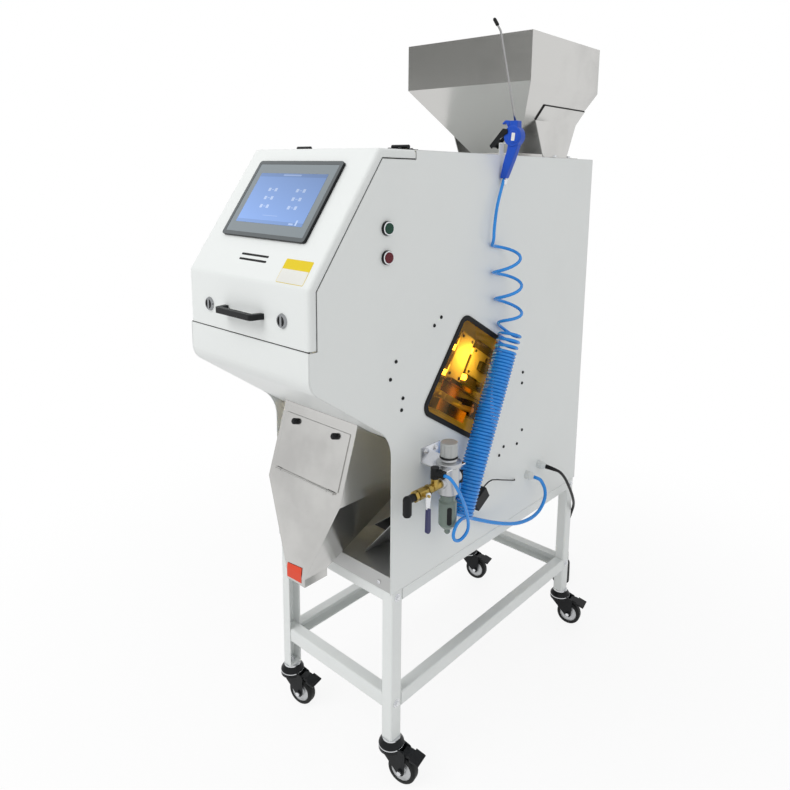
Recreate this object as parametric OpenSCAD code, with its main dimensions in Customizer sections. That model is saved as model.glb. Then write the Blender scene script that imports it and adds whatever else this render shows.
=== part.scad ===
// Optical colour sorter on a wheeled stand, in millimetres.
// +Z is up, -Y is the front with the screen, +X is the side with the air set.
// The origin is on the floor, midway between the four legs.

/* [Cabinet] */
// Width over the two side panels
cabinet_w = 410; // [360:5:460]
// Depth of the side panels from front edge to rear edge
depth = 850; // [800:5:920]
// Height of the side panels
cabinet_h = 998; // [980:1:1060]
// Thickness of the painted sheet
sheet = 2; // [1.5:0.1:2.5]
// Gap between a fixed piece and the piece that carries it
seat_gap = 0.2; // [0.1:0.05:0.3]

/* [Head and lid] */
// How far the head overhangs the front edge of the cabinet
head_reach = 226; // [210:1:250]
// How far the top of the lid leads the front edge of the cabinet
lid_lead = 43; // [30:1:60]
// Length of the flat top of the lid behind the front edge of the cabinet
lid_back = 66; // [55:1:90]
// Height of the sloping part of the lid
slope_drop = 264; // [250:1:280]
// Height of the upright front of the lid
lid_front_h = 119; // [105:1:130]
// Height of the fixed fascia under the lid, to where its underside would meet the front
fascia_h = 79; // [70:1:95]
// Fall of the head's underside, in degrees
under_angle = 35; // [30:1:40]
// Radius between the fascia and the underside
nose_r = 45; // [30:1:55]
// Radius of the side panel between the underside and the front edge
throat_r = 88; // [60:1:110]
// Width of the lid's side skirts
skirt_w = 18; // [14:1:24]
// Gap round the closed lid
lid_gap = 2.5; // [1.5:0.1:3]
// Bend radius of the lid's folds
bend_r = 8; // [5:1:12]

/* [Screen] */
// Width of the operator panel
hmi_w = 280; // [250:1:300]
// Height of the operator panel
hmi_h = 192; // [170:1:200]
// Distance of the operator panel from the lower bend of the lid
hmi_up = 92; // [86:1:104]
// Sideways place of the operator panel
hmi_x = -5; // [-15:1:15]
// Thickness of the operator panel's front frame
hmi_frame_t = 7; // [5:0.5:10]
// Depth of the operator panel's case behind the lid
hmi_case_d = 36; // [25:1:45]
// Border between the edge of the operator panel and its glass
hmi_border = 9; // [7:0.5:12]
// Length of the two sounder slots
sounder_w = 92; // [70:1:110]
// Height of a sounder slot
sounder_h = 5; // [4:0.5:6]

/* [Lid fittings] */
// Length of the handle
handle_w = 136; // [110:1:150]
// How far the handle stands off the lid
handle_reach = 30; // [25:1:40]
// Thickness of the handle's bar
handle_t = 12; // [10:0.5:14]
// Diameter of the cam locks
lock_d = 30; // [26:1:34]
// Sideways place of the cam locks
lock_x = 126; // [110:1:130]
// Distance of handle and locks above the lower edge of the lid
lock_up = 49; // [44:1:60]
// Sideways place of the lid hinges
hinge_x = 160; // [130:1:170]
// Width of a lid hinge
hinge_w = 48; // [40:1:56]
// Length of a hinge leaf
hinge_leaf = 30; // [24:1:36]
// Diameter of the hinge pins
hinge_pin_d = 4; // [3:0.5:5]

/* [Front chute] */
// Width of the front chute
chute_w = 255; // [230:1:270]
// Thickness of the stainless sheet
chute_t = 2; // [1.5:0.1:2.5]
// How far the bend of the chute leads the front edge of the cabinet
chute_reach = 84; // [75:1:95]
// Height of the chute's bend above the bottom of the cabinet
chute_bend_h = 219; // [205:1:235]
// How far the top of the chute's front leads the front edge of the cabinet
chute_top_reach = 30; // [22:1:36]
// Height of the top of the chute's front above the bottom of the cabinet
chute_top_h = 392; // [380:1:396]
// Depth of the chute's mouth inside the cabinet
chute_mouth = 162; // [140:1:180]
// Width of the outlet
outlet_w = 66; // [55:1:80]
// Depth of the outlet
outlet_d = 68; // [55:1:76]
// Length of the straight outlet collar
outlet_h = 20; // [14:1:26]
// How far the front of the outlet leads the front edge of the cabinet
outlet_reach = 108; // [98:1:118]
// Width of the access door
door_w = 226; // [200:1:230]
// Height of the access door
door_h = 136; // [120:1:140]
// Distance of the door's hinge from the bend of the chute
door_up = 26; // [22:1:30]
// Sideways place of the door knobs
knob_x = 70; // [55:1:80]

/* [Hopper] */
// Width of the hopper
hopper_w = 417; // [390:1:430]
// Depth of the hopper
hopper_d = 356; // [330:1:370]
// Height of the hopper above the cabinet
hopper_h = 308; // [280:1:340]
// Height of the upright part of the hopper
hopper_box_h = 122; // [100:1:140]
// Width of the hopper's neck
neck_w = 166; // [140:1:180]
// Depth of the hopper's neck
neck_d = 184; // [160:1:200]
// Height of the top of the neck above the cabinet
neck_up = 14; // [10:1:20]
// Length of the neck below the top of the cabinet
neck_drop = 34; // [25:1:40]
// Distance of the neck from the rear of the cabinet
neck_rear = 30; // [25:1:45]

/* [Stand] */
// Height of a leg between caster and cabinet
leg_h = 388; // [340:1:420]
// Width of a leg across the machine
leg_w = 30; // [26:1:36]
// Depth of a leg along the machine
leg_d = 36; // [32:1:44]
// Thickness of the stand's channels
leg_t = 2.5; // [2:0.1:3]
// Outer bend radius of the channels
leg_r = 5; // [4:0.5:6]
// Distance of a leg from the front or rear edge of the cabinet
leg_inset = 5; // [2:1:10]
// Height of the rails under the cabinet
rail_h = 31; // [26:1:36]
// Height of the lower stretchers
stretcher_h = 38; // [30:1:44]
// Height of the top of the stretchers above the floor
stretcher_top = 226; // [190:1:260]

/* [Casters] */
// Height of a caster
caster_h = 112; // [109:1:125]
// Diameter of a wheel
wheel_d = 75; // [70:1:76]
// Width of a wheel
wheel_w = 24; // [20:1:28]
// Distance of the wheel behind the swivel
trail = 34; // [28:1:38]
// Direction that the casters are turned to, from +X towards +Y
heading = 12; // [-30:1:60]
// Diameter of the caster's stud
stud_d = 10; // [8:0.5:12]
// Diameter of the wheel's axle
axle_d = 8; // [6:0.5:10]
// Diameter of the fork's dome
dome_d = 62; // [54:1:66]

/* [Window] */
// Upper front corner, from the front edge and the bottom of the cabinet
window_tl = [249, 617]; // [0:1:800]
// Upper rear corner
window_tr = [399, 532]; // [0:1:800]
// Lower rear corner
window_br = [304, 290]; // [0:1:800]
// Lower front corner
window_bl = [102, 415]; // [0:1:800]
// Corner radius of the window opening
window_r = 22; // [14:1:30]
// Width of the rubber seal's face
seal_w = 12; // [9:0.5:15]
// Thickness of the window pane
pane_t = 2; // [1.5:0.5:2]

/* [Buttons] */
// Distance of the buttons behind the front edge of the cabinet, as a negative number ahead of it
button_y = -20; // [-30:1:0]
// Height of the green button below the top of the cabinet
button_drop = 160; // [140:1:180]
// Distance between the two buttons
button_pitch = 60; // [45:1:75]
// Diameter of the bezels
bezel_d = 30; // [28:1:34]
// Height of the bezels
bezel_h = 8; // [7:0.5:10]
// Diameter of the button heads
button_d = 23; // [20:0.5:24]
// Travel of the buttons
button_travel = 4; // [3:0.5:5]

/* [Air set] */
// Distance of the regulator behind the front edge of the cabinet
reg_y = 130; // [124:1:150]
// Height of the regulator's port axis above the bottom of the cabinet
reg_h = 257; // [245:1:275]
// Distance of the regulator's axis from the side panel
reg_out = 57; // [50:1:64]
// Diameter of the regulator's body
reg_d = 50; // [44:1:54]
// Diameter of the bowl
bowl_d = 43; // [38:1:46]
// Length of the bowl with its drain
bowl_h = 104; // [90:1:112]
// Diameter of the knob
reg_knob_d = 41; // [36:1:44]
// Bore of the air inlet, for a 12 mm tube
inlet_d = 12.2; // [12:0.1:12.4]
// Length of the valve lever
lever_len = 88; // [70:1:96]

/* [Air gun] */
// Distance of the gun behind the front edge of the cabinet
gun_y = 379; // [370:1:392]
// Height of the gun's head above the cabinet
gun_up = 43; // [40:1:50]
// Distance of the gun's head from the side panel
gun_out = 36; // [33:1:40]
// Thickness of the gun's body
gun_t = 22; // [18:1:26]
// Diameter of the nozzle tube
nozzle_d = 5; // [4:0.5:7]

/* [Hidden] */
$fn = 48;
white = [0.87, 0.89, 0.88];
steel = [0.72, 0.72, 0.70];
black = [0.06, 0.06, 0.07];
grey = [0.55, 0.56, 0.56];
zinc = [0.70, 0.72, 0.74];
brass = [0.76, 0.60, 0.30];
blue = [0.10, 0.35, 0.85];
amber = [0.90, 0.60, 0.10, 0.6];

// Main planes
half_w = cabinet_w / 2;
inner_x = half_w - sheet;
front = -depth / 2;
rear = depth / 2;
base_z = caster_h + leg_h;
top_z = base_z + cabinet_h;
fit_x = inner_x - seat_gap;

// Head and lid
nose_y = front - head_reach;
fold_y = front - lid_lead;
back_y = front + lid_back;
bend_z = top_z - slope_drop;
lid_low = bend_z - lid_front_h;
slope_a = atan2(slope_drop, head_reach - lid_lead);
function under_at(y) = corner_z - (y - nose_y) * tan(under_angle);
corner_z = lid_low - fascia_h;
throat_z = corner_z - head_reach * tan(under_angle);
lid_pts = [[nose_y, lid_low, 0], [nose_y, bend_z, bend_r], [fold_y, top_z, bend_r], [back_y, top_z, 0]];
fascia_lip = 12;
lock_z = lid_low + lock_up;
cam_y = nose_y + fascia_lip + 3;
cam_t = 3;
cam_len = lock_up + lid_gap + 12;
lock_barrel_d = 20;
knuckle_d = hinge_pin_d + 5;
leaf_t = 2;
hinge_y = back_y + lid_gap / 2;
hinge_z = top_z + leaf_t + knuckle_d / 2;
run_gap = 0.05;
side_gap = 0.4;
hmi_case_w = hmi_w - 26;
hmi_case_h = hmi_h - 26;
glass_t = 2;
sounder_up = hmi_up / 2 + 2;
sounder_pitch = 2.3 * sounder_h;

// Front chute
chute_y = front - chute_reach;
chute_z = base_z + chute_bend_h;
chute_top_y = front - chute_top_reach;
chute_top_z = base_z + chute_top_h;
mouth_y = front + chute_mouth;
outlet_y = front - outlet_reach;
collar_z = base_z + outlet_h - 3;
outlet_z = collar_z - outlet_h;
face_a = atan2(chute_top_z - chute_z, chute_top_y - chute_y);
door_t = 2;
door_pin_d = 3;
door_knuckle_d = 7;
door_frame = 10;
door_frame_top = 5;
door_knob_d = 15;
door_knob_up = door_h - 15;
tongue_t = 2;

// Hopper
hopper_front = rear - 2 - hopper_d;
hopper_rear = rear - 2;
hopper_top = top_z + hopper_h;
hopper_low = hopper_top - hopper_box_h;
neck_z = top_z + neck_up;
neck_y1 = rear - neck_rear;
neck_y0 = neck_y1 - neck_d;
neck_gap = 1;
bracket_t = 2.5;
bracket_z = top_z + 0.54 * (hopper_low - top_z);
bracket_x = neck_w / 2 + (hopper_w - neck_w) / 2 * (bracket_z - neck_z) / (hopper_low - neck_z);
bracket_a = atan2((hopper_w - neck_w) / 2, hopper_low - neck_z);
bracket_top = 46;
bracket_w = 222;
bracket_foot_w = 126;
bracket_foot = 40;
bracket_y = (neck_y0 + neck_y1) / 2;

// Stand and casters
leg_y = depth / 2 - leg_inset;
swivel_x = half_w - leg_w / 2;
swivel_y = leg_y - leg_d / 2;
corners = [[-1, -1], [1, -1], [-1, 1], [1, 1]];
foot_t = 4;
ring_t = 3.5;
crown_z = caster_h - ring_t - 0.3;
crown_h = crown_z - wheel_d - 7;
arm_t = 3;
arm_y = wheel_w / 2 + 1.5;
pedal_x = trail + 6;
pedal_z = wheel_d + 9;
pedal_pin_d = 5;
pedal_len = 44;

// Air set
reg_x = half_w + reg_out;
reg_py = front + reg_y;
reg_z = base_z + reg_h;
body_top = reg_z + 34;
bowl_top = reg_z - 30;
bonnet_h = 22;
neck_d_reg = reg_knob_d - 5;
plate_t = 3;
tee_y = reg_py - reg_d / 2 - 24;
valve_y = tee_y - 45;
elbow_y = valve_y - 46;
hex_d = 25;
lever_x = reg_x + hex_d / 2 + 6;
lever_gap = 0.3;
push_z = reg_z + 20;
push_len = 27;
air_out_y = reg_py + reg_d / 2 + 17;
air_out_z = reg_z - 19;

// Air gun
gun_x = half_w + gun_out;
gun_py = front + gun_y;
gun_z = top_z + gun_up;
gun_head_d = 48;
hanger_w = 18;
hanger_in = 19;
hanger_top = gun_z - sqrt(gun_head_d * gun_head_d / 4 - hanger_in * hanger_in) - 2 * seat_gap;
trigger_x = gun_x - 17;
trigger_z = gun_z + 12;
trigger_pin_d = 4;

// Buttons and glands
green_z = top_z - button_drop;
red_z = green_z - button_pitch;
button_py = front + button_y;
barrel_d = 21;
gland_len = 26;
gland_d = 22;
air_gland = [front + 560, base_z + 106];
power_gland = [front + 624, base_z + 117];
wire_hole = [front + 500, base_z + 111];
switch_at = [front + 297, base_z + 139];
switch_a = 30;

// Inside: product path
slide_a = 58;
slide_low = [front + 345, base_z + 570];
slide_top = slide_low + 370 * [cos(slide_a), sin(slide_a)];
slide_w = 220;
rod_d = 14;
stream = [front + 300, base_z + 495];
lip_h = 40;
lip_y = front + leg_inset;

// Routes of the tubes and cords, in machine coordinates
recoil_tail = [[reg_x + push_len, tee_y, push_z + 14], [303, -342, 789], [314, -330, 766], [314, -304,
    722],
    [306, -278, 676], [299, -263, 636], [296, -267, 609], [294, -288, 598], [293, -307, 607], [293,
        -313, 625],
    [292, -306, 643], [289, -288, 656], [285.5, -262, 657], [282.5, -238, 646]];
recoil_lead = [[240, -90, 1350], [230, -72, 1378], [220, -54, 1408], [gun_x - 25, gun_py, gun_z - 100]];
coil_low = [256.5, -238, 645];
coil_high = [241, -31, 1056];
loose_high = [243, -92, 1352];
coil_d = 60;
loose_d = 70;
recoil_d = 8;
air_route = [[reg_x, air_out_y, air_out_z], [259, -255, 712], [240, -258, 684], [220, -250, 658],
    [214, -222, 634],
    [216, -172, 602], [224, -112, 570], [236, -48, 540], [248, 20, 516], [255, 80, 508], [258, 124, 516],
    [258, 152, 540], [256, 156, 568], [248, 148, 594], [242, 138, 604], [half_w + gland_len,
        air_gland.x, air_gland.y]];
air_d = 10;
wire_route = [[half_w + 18, switch_at.x + 22, switch_at.y + 13], [226, -92, 663], [229, -70, 668],
    [228, -20, 650],
    [222, 30, 630], [213, 62, 616], [inner_x, wire_hole.x, wire_hole.y]];
wire_d = 3.4;
hank_start = [98, 574];
power_route = [[half_w + gland_len, power_gland.x, power_gland.y], [250, 204, 614], [262, 226, 600],
    [262, 262, 566], [254, 312, 510], [240, 360, 458], [216, 410, 420], [190, 438, 372], [170, 456, 300],
    [156, 472, 200], [138, 502, 100], [118, 538, 40], [hank_start.x + 13.5, hank_start.y - 4, 30],
    [hank_start.x + 11, hank_start.y + 13, 22]];
power_d = 8.5;
hank_run = 150;
hank_w = 50;
hank_h = 26;
view_a = 118;

function unit(v) = v / norm(v);
function flat(p) = [p.x, p.y];
function reversed(l) = [for (i = [len(l) - 1:-1:0]) l[i]];

// Arc that rounds the corner p between its neighbours a and b
function corner(p, a, b, r, n = 6) = let(
    d1 = unit(a - p),
    d2 = unit(b - p),
    half = acos(d1 * d2) / 2,
    c = p + unit(d1 + d2) * r / sin(half),
    s = p + d1 * r / tan(half) - c,
    e = p + d2 * r / tan(half) - c,
    a0 = atan2(s.y, s.x),
    turn = atan2(e.y, e.x) - a0,
    sweep = turn > 180 ? turn - 360 : turn < -180 ? turn + 360 : turn)
    [for (i = [0:n]) c + r * [cos(a0 + sweep * i / n), sin(a0 + sweep * i / n)]];

// Outline or path through points of the form [u, v, radius]
function outline(pts) = let(n = len(pts))
    [for (i = [0:n - 1]) each pts[i].z > 0
        ? corner(flat(pts[i]), flat(pts[(i + n - 1) % n]), flat(pts[(i + 1) % n]), pts[i].z)
        : [flat(pts[i])]];

// Path moved sideways by d, to the right of its direction
function right_of(a, b) = let(d = unit(b - a)) [d.y, -d.x];
function shifted(pts, d) = let(n = len(pts))
    [for (i = [0:n - 1]) let(
        n1 = right_of(pts[max(i - 1, 0)], pts[max(i, 1)]),
        n2 = right_of(pts[min(i, n - 2)], pts[min(i + 1, n - 1)]))
        pts[i] + (n1 + n2) * d / (1 + n1 * n2)];

// Outline of a bent sheet of thickness t along a path
function strip(pts, t) = concat(pts, reversed(shifted(pts, t)));
function rect(w, h, r) = outline([[-w / 2, -h / 2, r], [w / 2, -h / 2, r], [w / 2, h / 2, r], [-w / 2,
    h / 2, r]]);

// Directions across a route, carried from each ring to the next without twist
function along_at(route, i) = unit(route[min(i + 1, len(route) - 1)] - route[max(i - 1, 0)]);
function square_to(u, t) = unit(u - (u * t) * t);
function sideways(route, i = 0, list = []) = i == len(route) ? list
    : sideways(route, i + 1, concat(list, [square_to(i > 0 ? list[i - 1] : [0.31, 0.52, 0.79],
        along_at(route, i))]));
function ring_at(p, t, u, d, sides) =
    [for (k = [0:sides - 1]) p + d / 2 * (cos(360 * k / sides) * u + sin(360 * k / sides) * cross(t, u))];

// Points between the route's own points, on a smooth curve through them
function eased(route, per) = let(n = len(route))
    concat([for (i = [0:n - 2]) let(
        p0 = route[max(i - 1, 0)],
        p1 = route[i],
        p2 = route[i + 1],
        p3 = route[min(i + 2, n - 1)])
        for (k = [0:per - 1]) let(t = k / per)
            0.5 * (2 * p1 + (p2 - p0) * t + (2 * p0 - 5 * p1 + 4 * p2 - p3) * t * t
                + (3 * p1 - p0 - 3 * p2 + p3) * t * t * t)],
        [route[n - 1]]);

module tube(route, d, sides = 8) {
    n = len(route);
    u = sideways(route);
    polyhedron(
        points = [for (i = [0:n - 1]) each ring_at(route[i], along_at(route, i), u[i], d, sides)],
        faces = concat(
            [[for (k = [0:sides - 1]) k]],
            [for (i = [0:n - 2]) for (k = [0:sides - 1]) let(a = i * sides, b = a + sides,
                m = (k + 1) % sides)
                each [[a + k, b + k, b + m], [a + k, b + m, a + m]]],
            [[for (k = [sides - 1:-1:0]) (n - 1) * sides + k]]));
}

// Profile in the side view, [y, z], stretched from x0 to x1
module across(x0, x1) {
    translate([x0, 0, 0]) rotate([90, 0, 90]) linear_extrude(x1 - x0) children();
}

// Profile in the front view, [x, z], stretched from y0 to y1
module along(y0, y1) {
    translate([0, y1, 0]) rotate([90, 0, 0]) linear_extrude(y1 - y0) children();
}

module both_sides() {
    children();
    mirror([1, 0, 0]) children();
}

// Local frame on the slope of the lid: x across, y up the slope, z out of it
module on_slope() {
    translate([0, nose_y, bend_z]) rotate([slope_a, 0, 0]) children();
}

// Local frame on the front of the chute: x across, y up the face, z out of it
module on_face() {
    translate([0, chute_y, chute_z]) rotate([face_a, 0, 0]) children();
}

// Local frame of something that stands out of the right side panel
module on_panel(y, z) {
    translate([half_w, y, z]) rotate([0, 90, 0]) children();
}

// Block between a lower rectangle a and an upper rectangle b, each [x0, x1, y0, y1, z]
module frustum(a, b) {
    polyhedron(
        points = [for (r = [a, b]) each [[r[0], r[2], r[4]], [r[1], r[2], r[4]], [r[1], r[3], r[4]],
            [r[0], r[3], r[4]]]],
        faces = [[0, 1, 2, 3], [4, 7, 6, 5], [0, 4, 5, 1], [1, 5, 6, 2], [2, 6, 7, 3], [3, 7, 4, 0]]);
}

module stand_legs() {
    color(white) for (c = corners) scale_to_corner(c) {
        path = outline([[half_w - leg_w, leg_y, 0], [half_w, leg_y, leg_r], [half_w, leg_y - leg_d,
            leg_r],
            [half_w - leg_w, leg_y - leg_d, 0]]);
        translate([0, 0, caster_h]) linear_extrude(leg_h) polygon(strip(path, leg_t));
        difference() {
            translate([half_w - leg_w, leg_y - leg_d + leg_t / 2, caster_h])
                cube([leg_w - leg_t / 2, leg_d - leg_t, foot_t]);
            translate([swivel_x, swivel_y, caster_h - 1]) cylinder(d = stud_d + 2 * run_gap,
                h = foot_t + 2);
        }
    }
}

// Turns a piece made for the rear right corner to the corner c
module scale_to_corner(c) {
    mirror([c.x < 0 ? 1 : 0, 0, 0]) mirror([0, c.y < 0 ? 1 : 0, 0]) children();
}

// Channel with its web on the outside and its flanges inwards, as a path in [outwards, up]
function channel(out, deep, z0, z1) = outline([[out - deep, z0, 0], [out, z0, leg_r], [out, z1,
    leg_r], [out - deep, z1, 0]]);

module stand_rails() {
    cross_out = leg_y - leg_t - seat_gap;
    cross_deep = leg_d - 2 * (leg_t + seat_gap);
    cross_x = half_w - leg_r - seat_gap;
    side_y = leg_y - leg_d - seat_gap;
    color(white) for (level = [[base_z - rail_h, base_z], [stretcher_top - stretcher_h, stretcher_top]]) {
        for (m = [0, 1]) mirror([0, m, 0])
            across(-cross_x, cross_x) polygon(strip(channel(cross_out, cross_deep, level[0],
                level[1]), -leg_t));
        both_sides() along(-side_y, side_y)
            polygon(strip(channel(half_w, leg_w, level[0], level[1]), -leg_t));
    }
}

// Local frame of a caster: z up its swivel from the floor, x the way its wheel trails
module at_caster(c) {
    translate([c.x * swivel_x, c.y * swivel_y, 0]) rotate([0, 0, heading]) children();
}

module caster_studs() {
    color(zinc) for (c = corners) at_caster(c) {
        translate([0, 0, crown_z - 14]) cylinder(d = stud_d, h = caster_h + foot_t + 12 - crown_z + 14);
        translate([0, 0, caster_h - ring_t]) cylinder(d = 0.72 * dome_d, h = ring_t);
        translate([0, 0, caster_h + foot_t]) cylinder(d = 1.9 * stud_d, h = 0.8 * stud_d, $fn = 6);
    }
}

module caster_fork(c) {
    color(black) at_caster(c) difference() {
        union() {
            rotate_extrude() polygon(outline([[0, crown_z - crown_h, 0], [dome_d / 2,
                crown_z - crown_h, 0],
                [dome_d / 2, crown_z - 0.45 * crown_h, 7], [0.36 * dome_d, crown_z, 4], [0, crown_z,
                    0]]));
            for (y = [-arm_y - arm_t, arm_y]) along(y, y + arm_t) hull() {
                translate([-4, crown_z - crown_h + 4]) circle(d = 0.6 * dome_d, $fn = 32);
                translate([trail, wheel_d / 2]) circle(d = axle_d + 14, $fn = 32);
                translate([pedal_x, pedal_z]) circle(d = pedal_pin_d + 8, $fn = 32);
            }
            along(-arm_y - 0.5, arm_y + 0.5) translate([trail, wheel_d / 2]) circle(d = axle_d);
            along(-arm_y - arm_t - 3, -arm_y - arm_t + 0.5) translate([trail,
                wheel_d / 2]) circle(d = axle_d + 5);
            along(arm_y + arm_t - 0.5, arm_y + arm_t + 3) translate([trail,
                wheel_d / 2]) circle(d = axle_d + 5);
        }
        translate([0, 0, crown_z - 15]) cylinder(d = stud_d + 2 * run_gap, h = 16);
        along(-arm_y - arm_t - 1, arm_y + arm_t + 1) translate([pedal_x, pedal_z])
            circle(d = pedal_pin_d + 2 * run_gap);
        translate([trail, 0, wheel_d / 2]) rotate([90, 0, 0]) difference() {
            cylinder(d = wheel_d + 4, h = 2 * arm_y, center = true);
            cylinder(d = axle_d, h = 3 * arm_y, center = true);
        }
    }
}

module caster_wheel(c) {
    rim_r = 0.37 * wheel_d;
    color(grey) at_caster(c) translate([trail, 0, wheel_d / 2]) rotate([90, 0,
        0]) rotate_extrude() polygon(outline([
        [axle_d / 2 + run_gap, -wheel_w / 2, 0], [axle_d / 2 + 7, -wheel_w / 2, 1], [axle_d / 2 + 9,
            -wheel_w / 2 + 4, 1],
        [rim_r - 3, -wheel_w / 2 + 4, 1], [rim_r, -wheel_w / 2, 0], [wheel_d / 2, -wheel_w / 2, 6],
        [wheel_d / 2, wheel_w / 2, 6], [rim_r, wheel_w / 2, 0], [rim_r - 3, wheel_w / 2 - 4, 1],
        [axle_d / 2 + 9, wheel_w / 2 - 4, 1], [axle_d / 2 + 7, wheel_w / 2, 1], [axle_d / 2 + run_gap,
            wheel_w / 2, 0]]));
}

module caster_pedal(c) {
    shank = outline([[pedal_x - 4, pedal_z - 4, 2], [pedal_x + 14, pedal_z - 3, 6],
        [pedal_x + pedal_len, pedal_z - 10, 2],
        [pedal_x + pedal_len + 2, pedal_z - 5, 2], [pedal_x + 14, pedal_z + 4, 6], [pedal_x - 4,
            pedal_z + 5, 3]]);
    color(black) at_caster(c) {
        along(-arm_y + side_gap, arm_y - side_gap) polygon(shank);
        along(-arm_y - arm_t, arm_y + arm_t) translate([pedal_x, pedal_z]) circle(d = pedal_pin_d);
        intersection() {
            along(-wheel_w, wheel_w) polygon(shank);
            translate([pedal_x + 20, -wheel_w * 0.78, 0]) cube([pedal_len, wheel_w * 1.56, 2 * wheel_d]);
        }
    }
}

// Edge of a side panel, with the cut-out that the lid's skirt fills
side_cut = shifted([for (p = lid_pts) flat(p)], skirt_w + lid_gap);
side_outline = outline(concat(
    [[front, base_z, 0], [front, throat_z, throat_r], [nose_y, corner_z, nose_r], [nose_y,
        lid_low - lid_gap, 0],
        [side_cut[0].x, lid_low - lid_gap, 0]],
    [for (i = [1, 2]) [side_cut[i].x, side_cut[i].y, 0]],
    [[back_y + lid_gap, side_cut[3].y, 0], [back_y + lid_gap, top_z, 0], [rear, top_z, 0], [rear,
        base_z, 0]]));

function in_cabinet(p) = [front + p.x, base_z + p.y];
window_outline = outline([for (p = [window_tl, window_bl, window_br, window_tr])
    [in_cabinet(p).x, in_cabinet(p).y, window_r]]);

module side_panel_left() {
    color(white) across(-half_w, -inner_x) polygon(side_outline);
}

module side_panel_right() {
    color(white) difference() {
        union() {
            across(inner_x, half_w) polygon(side_outline);
            translate([inner_x, gun_py - hanger_w / 2, top_z - sheet])
                cube([sheet, hanger_w, hanger_top - top_z + sheet]);
            translate([inner_x, gun_py - hanger_w / 2, hanger_top - sheet])
                cube([gun_x - hanger_in - inner_x, hanger_w, sheet]);
        }
        across(inner_x - 1, half_w + 1) polygon(window_outline);
        for (z = [green_z, red_z]) on_panel(button_py, z) cylinder(d = barrel_d + 2 * seat_gap, h = 9,
            center = true);
        for (g = [air_gland, power_gland]) on_panel(g.x, g.y) cylinder(d = 0.7 * gland_d, h = 9,
            center = true);
        on_panel(wire_hole.x, wire_hole.y) cylinder(d = wire_d + 1, h = 9, center = true);
    }
}

module rear_top_cover() {
    color(white) difference() {
        across(-fit_x, fit_x) polygon(strip(outline([[back_y + lid_gap, top_z, 0], [rear, top_z,
            bend_r], [rear, base_z, 0]]),
            sheet));
        translate([-neck_w / 2 - neck_gap, neck_y0 - neck_gap, top_z - 2 * sheet])
            cube([neck_w + 2 * neck_gap, neck_d + 2 * neck_gap, 4 * sheet]);
    }
}

module front_fascia() {
    end_y = front + 12;
    path = outline([[nose_y + fascia_lip, lid_low - lid_gap, 0], [nose_y, lid_low - lid_gap, 0],
        [nose_y, corner_z, nose_r],
        [end_y, under_at(end_y), 0]]);
    color(white) across(-fit_x, fit_x) polygon(strip(path, -sheet));
}

module lid_shell() {
    color(white) difference() {
        union() {
            across(-half_w, half_w) polygon(strip(outline(lid_pts), sheet));
            for (x = [-half_w, inner_x]) across(x, x + sheet)
                polygon(concat(outline(lid_pts), reversed(shifted([for (p = lid_pts) flat(p)],
                    skirt_w))));
        }
        on_slope() {
            translate([hmi_x, hmi_up + hmi_h / 2, -2 * sheet]) linear_extrude(4 * sheet)
                square([hmi_case_w + 2 * seat_gap, hmi_case_h + 2 * seat_gap], center = true);
            for (k = [-0.5, 0.5]) translate([0, sounder_up + k * sounder_pitch,
                -2 * sheet]) linear_extrude(4 * sheet)
                polygon(rect(sounder_w, sounder_h, sounder_h * 0.45));
        }
        for (x = [-lock_x, lock_x]) translate([x, 0, 0]) along(nose_y - 2 * sheet, nose_y + 2 * sheet)
            translate([0, lock_z]) circle(d = lock_barrel_d + 2 * run_gap);
    }
}

// One hinge leaf; side is -1 for the leaf on the lid and 1 for the leaf on the cabinet, parts are its
// knuckles
module hinge_half(side, parts) {
    for (x = [-hinge_x, hinge_x]) translate([x, 0, 0]) {
        translate([-hinge_w / 2, side < 0 ? hinge_y - hinge_leaf : hinge_y + knuckle_d / 2 + side_gap,
            top_z])
            cube([hinge_w, hinge_leaf - knuckle_d / 2 - side_gap, leaf_t]);
        for (p = parts) difference() {
            across(hinge_w * (p[0] - 0.5) + side_gap / 2, hinge_w * (p[1] - 0.5) - side_gap / 2) union() {
                translate([hinge_y, hinge_z]) circle(d = knuckle_d);
                translate([side < 0 ? hinge_y - hinge_leaf / 2 : hinge_y,
                    top_z]) square([hinge_leaf / 2, leaf_t + 1]);
            }
            across(-hinge_w, hinge_w) translate([hinge_y, hinge_z]) circle(d = hinge_pin_d + 2 * run_gap);
        }
    }
}

module lid_hinge_leaves() {
    color(black) hinge_half(-1, [[1 / 3, 2 / 3]]);
}

module cabinet_hinge_leaves() {
    color(black) {
        hinge_half(1, [[0, 1 / 3], [2 / 3, 1]]);
        for (x = [-hinge_x, hinge_x]) {
            across(x - hinge_w / 2 + side_gap / 2, x + hinge_w / 2 - side_gap / 2)
                translate([hinge_y, hinge_z]) circle(d = hinge_pin_d);
            for (s = [-1, 1]) across(x + s * (hinge_w / 2 - 1.5) - 1, x + s * (hinge_w / 2 - 1.5) + 1)
                translate([hinge_y, hinge_z]) circle(d = knuckle_d);
        }
    }
}

module hmi_housing() {
    color(black) on_slope() translate([hmi_x, hmi_up + hmi_h / 2, 0]) difference() {
        union() {
            translate([0, 0, seat_gap]) linear_extrude(hmi_frame_t - seat_gap) polygon(rect(hmi_w,
                hmi_h, 7));
            translate([0, 0, -hmi_case_d]) linear_extrude(hmi_case_d + 1) square([hmi_case_w,
                hmi_case_h], center = true);
        }
        translate([0, 0, hmi_frame_t - glass_t]) linear_extrude(2 * glass_t)
            polygon(rect(hmi_w - 2 * hmi_border, hmi_h - 2 * hmi_border, 3));
    }
}

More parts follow.
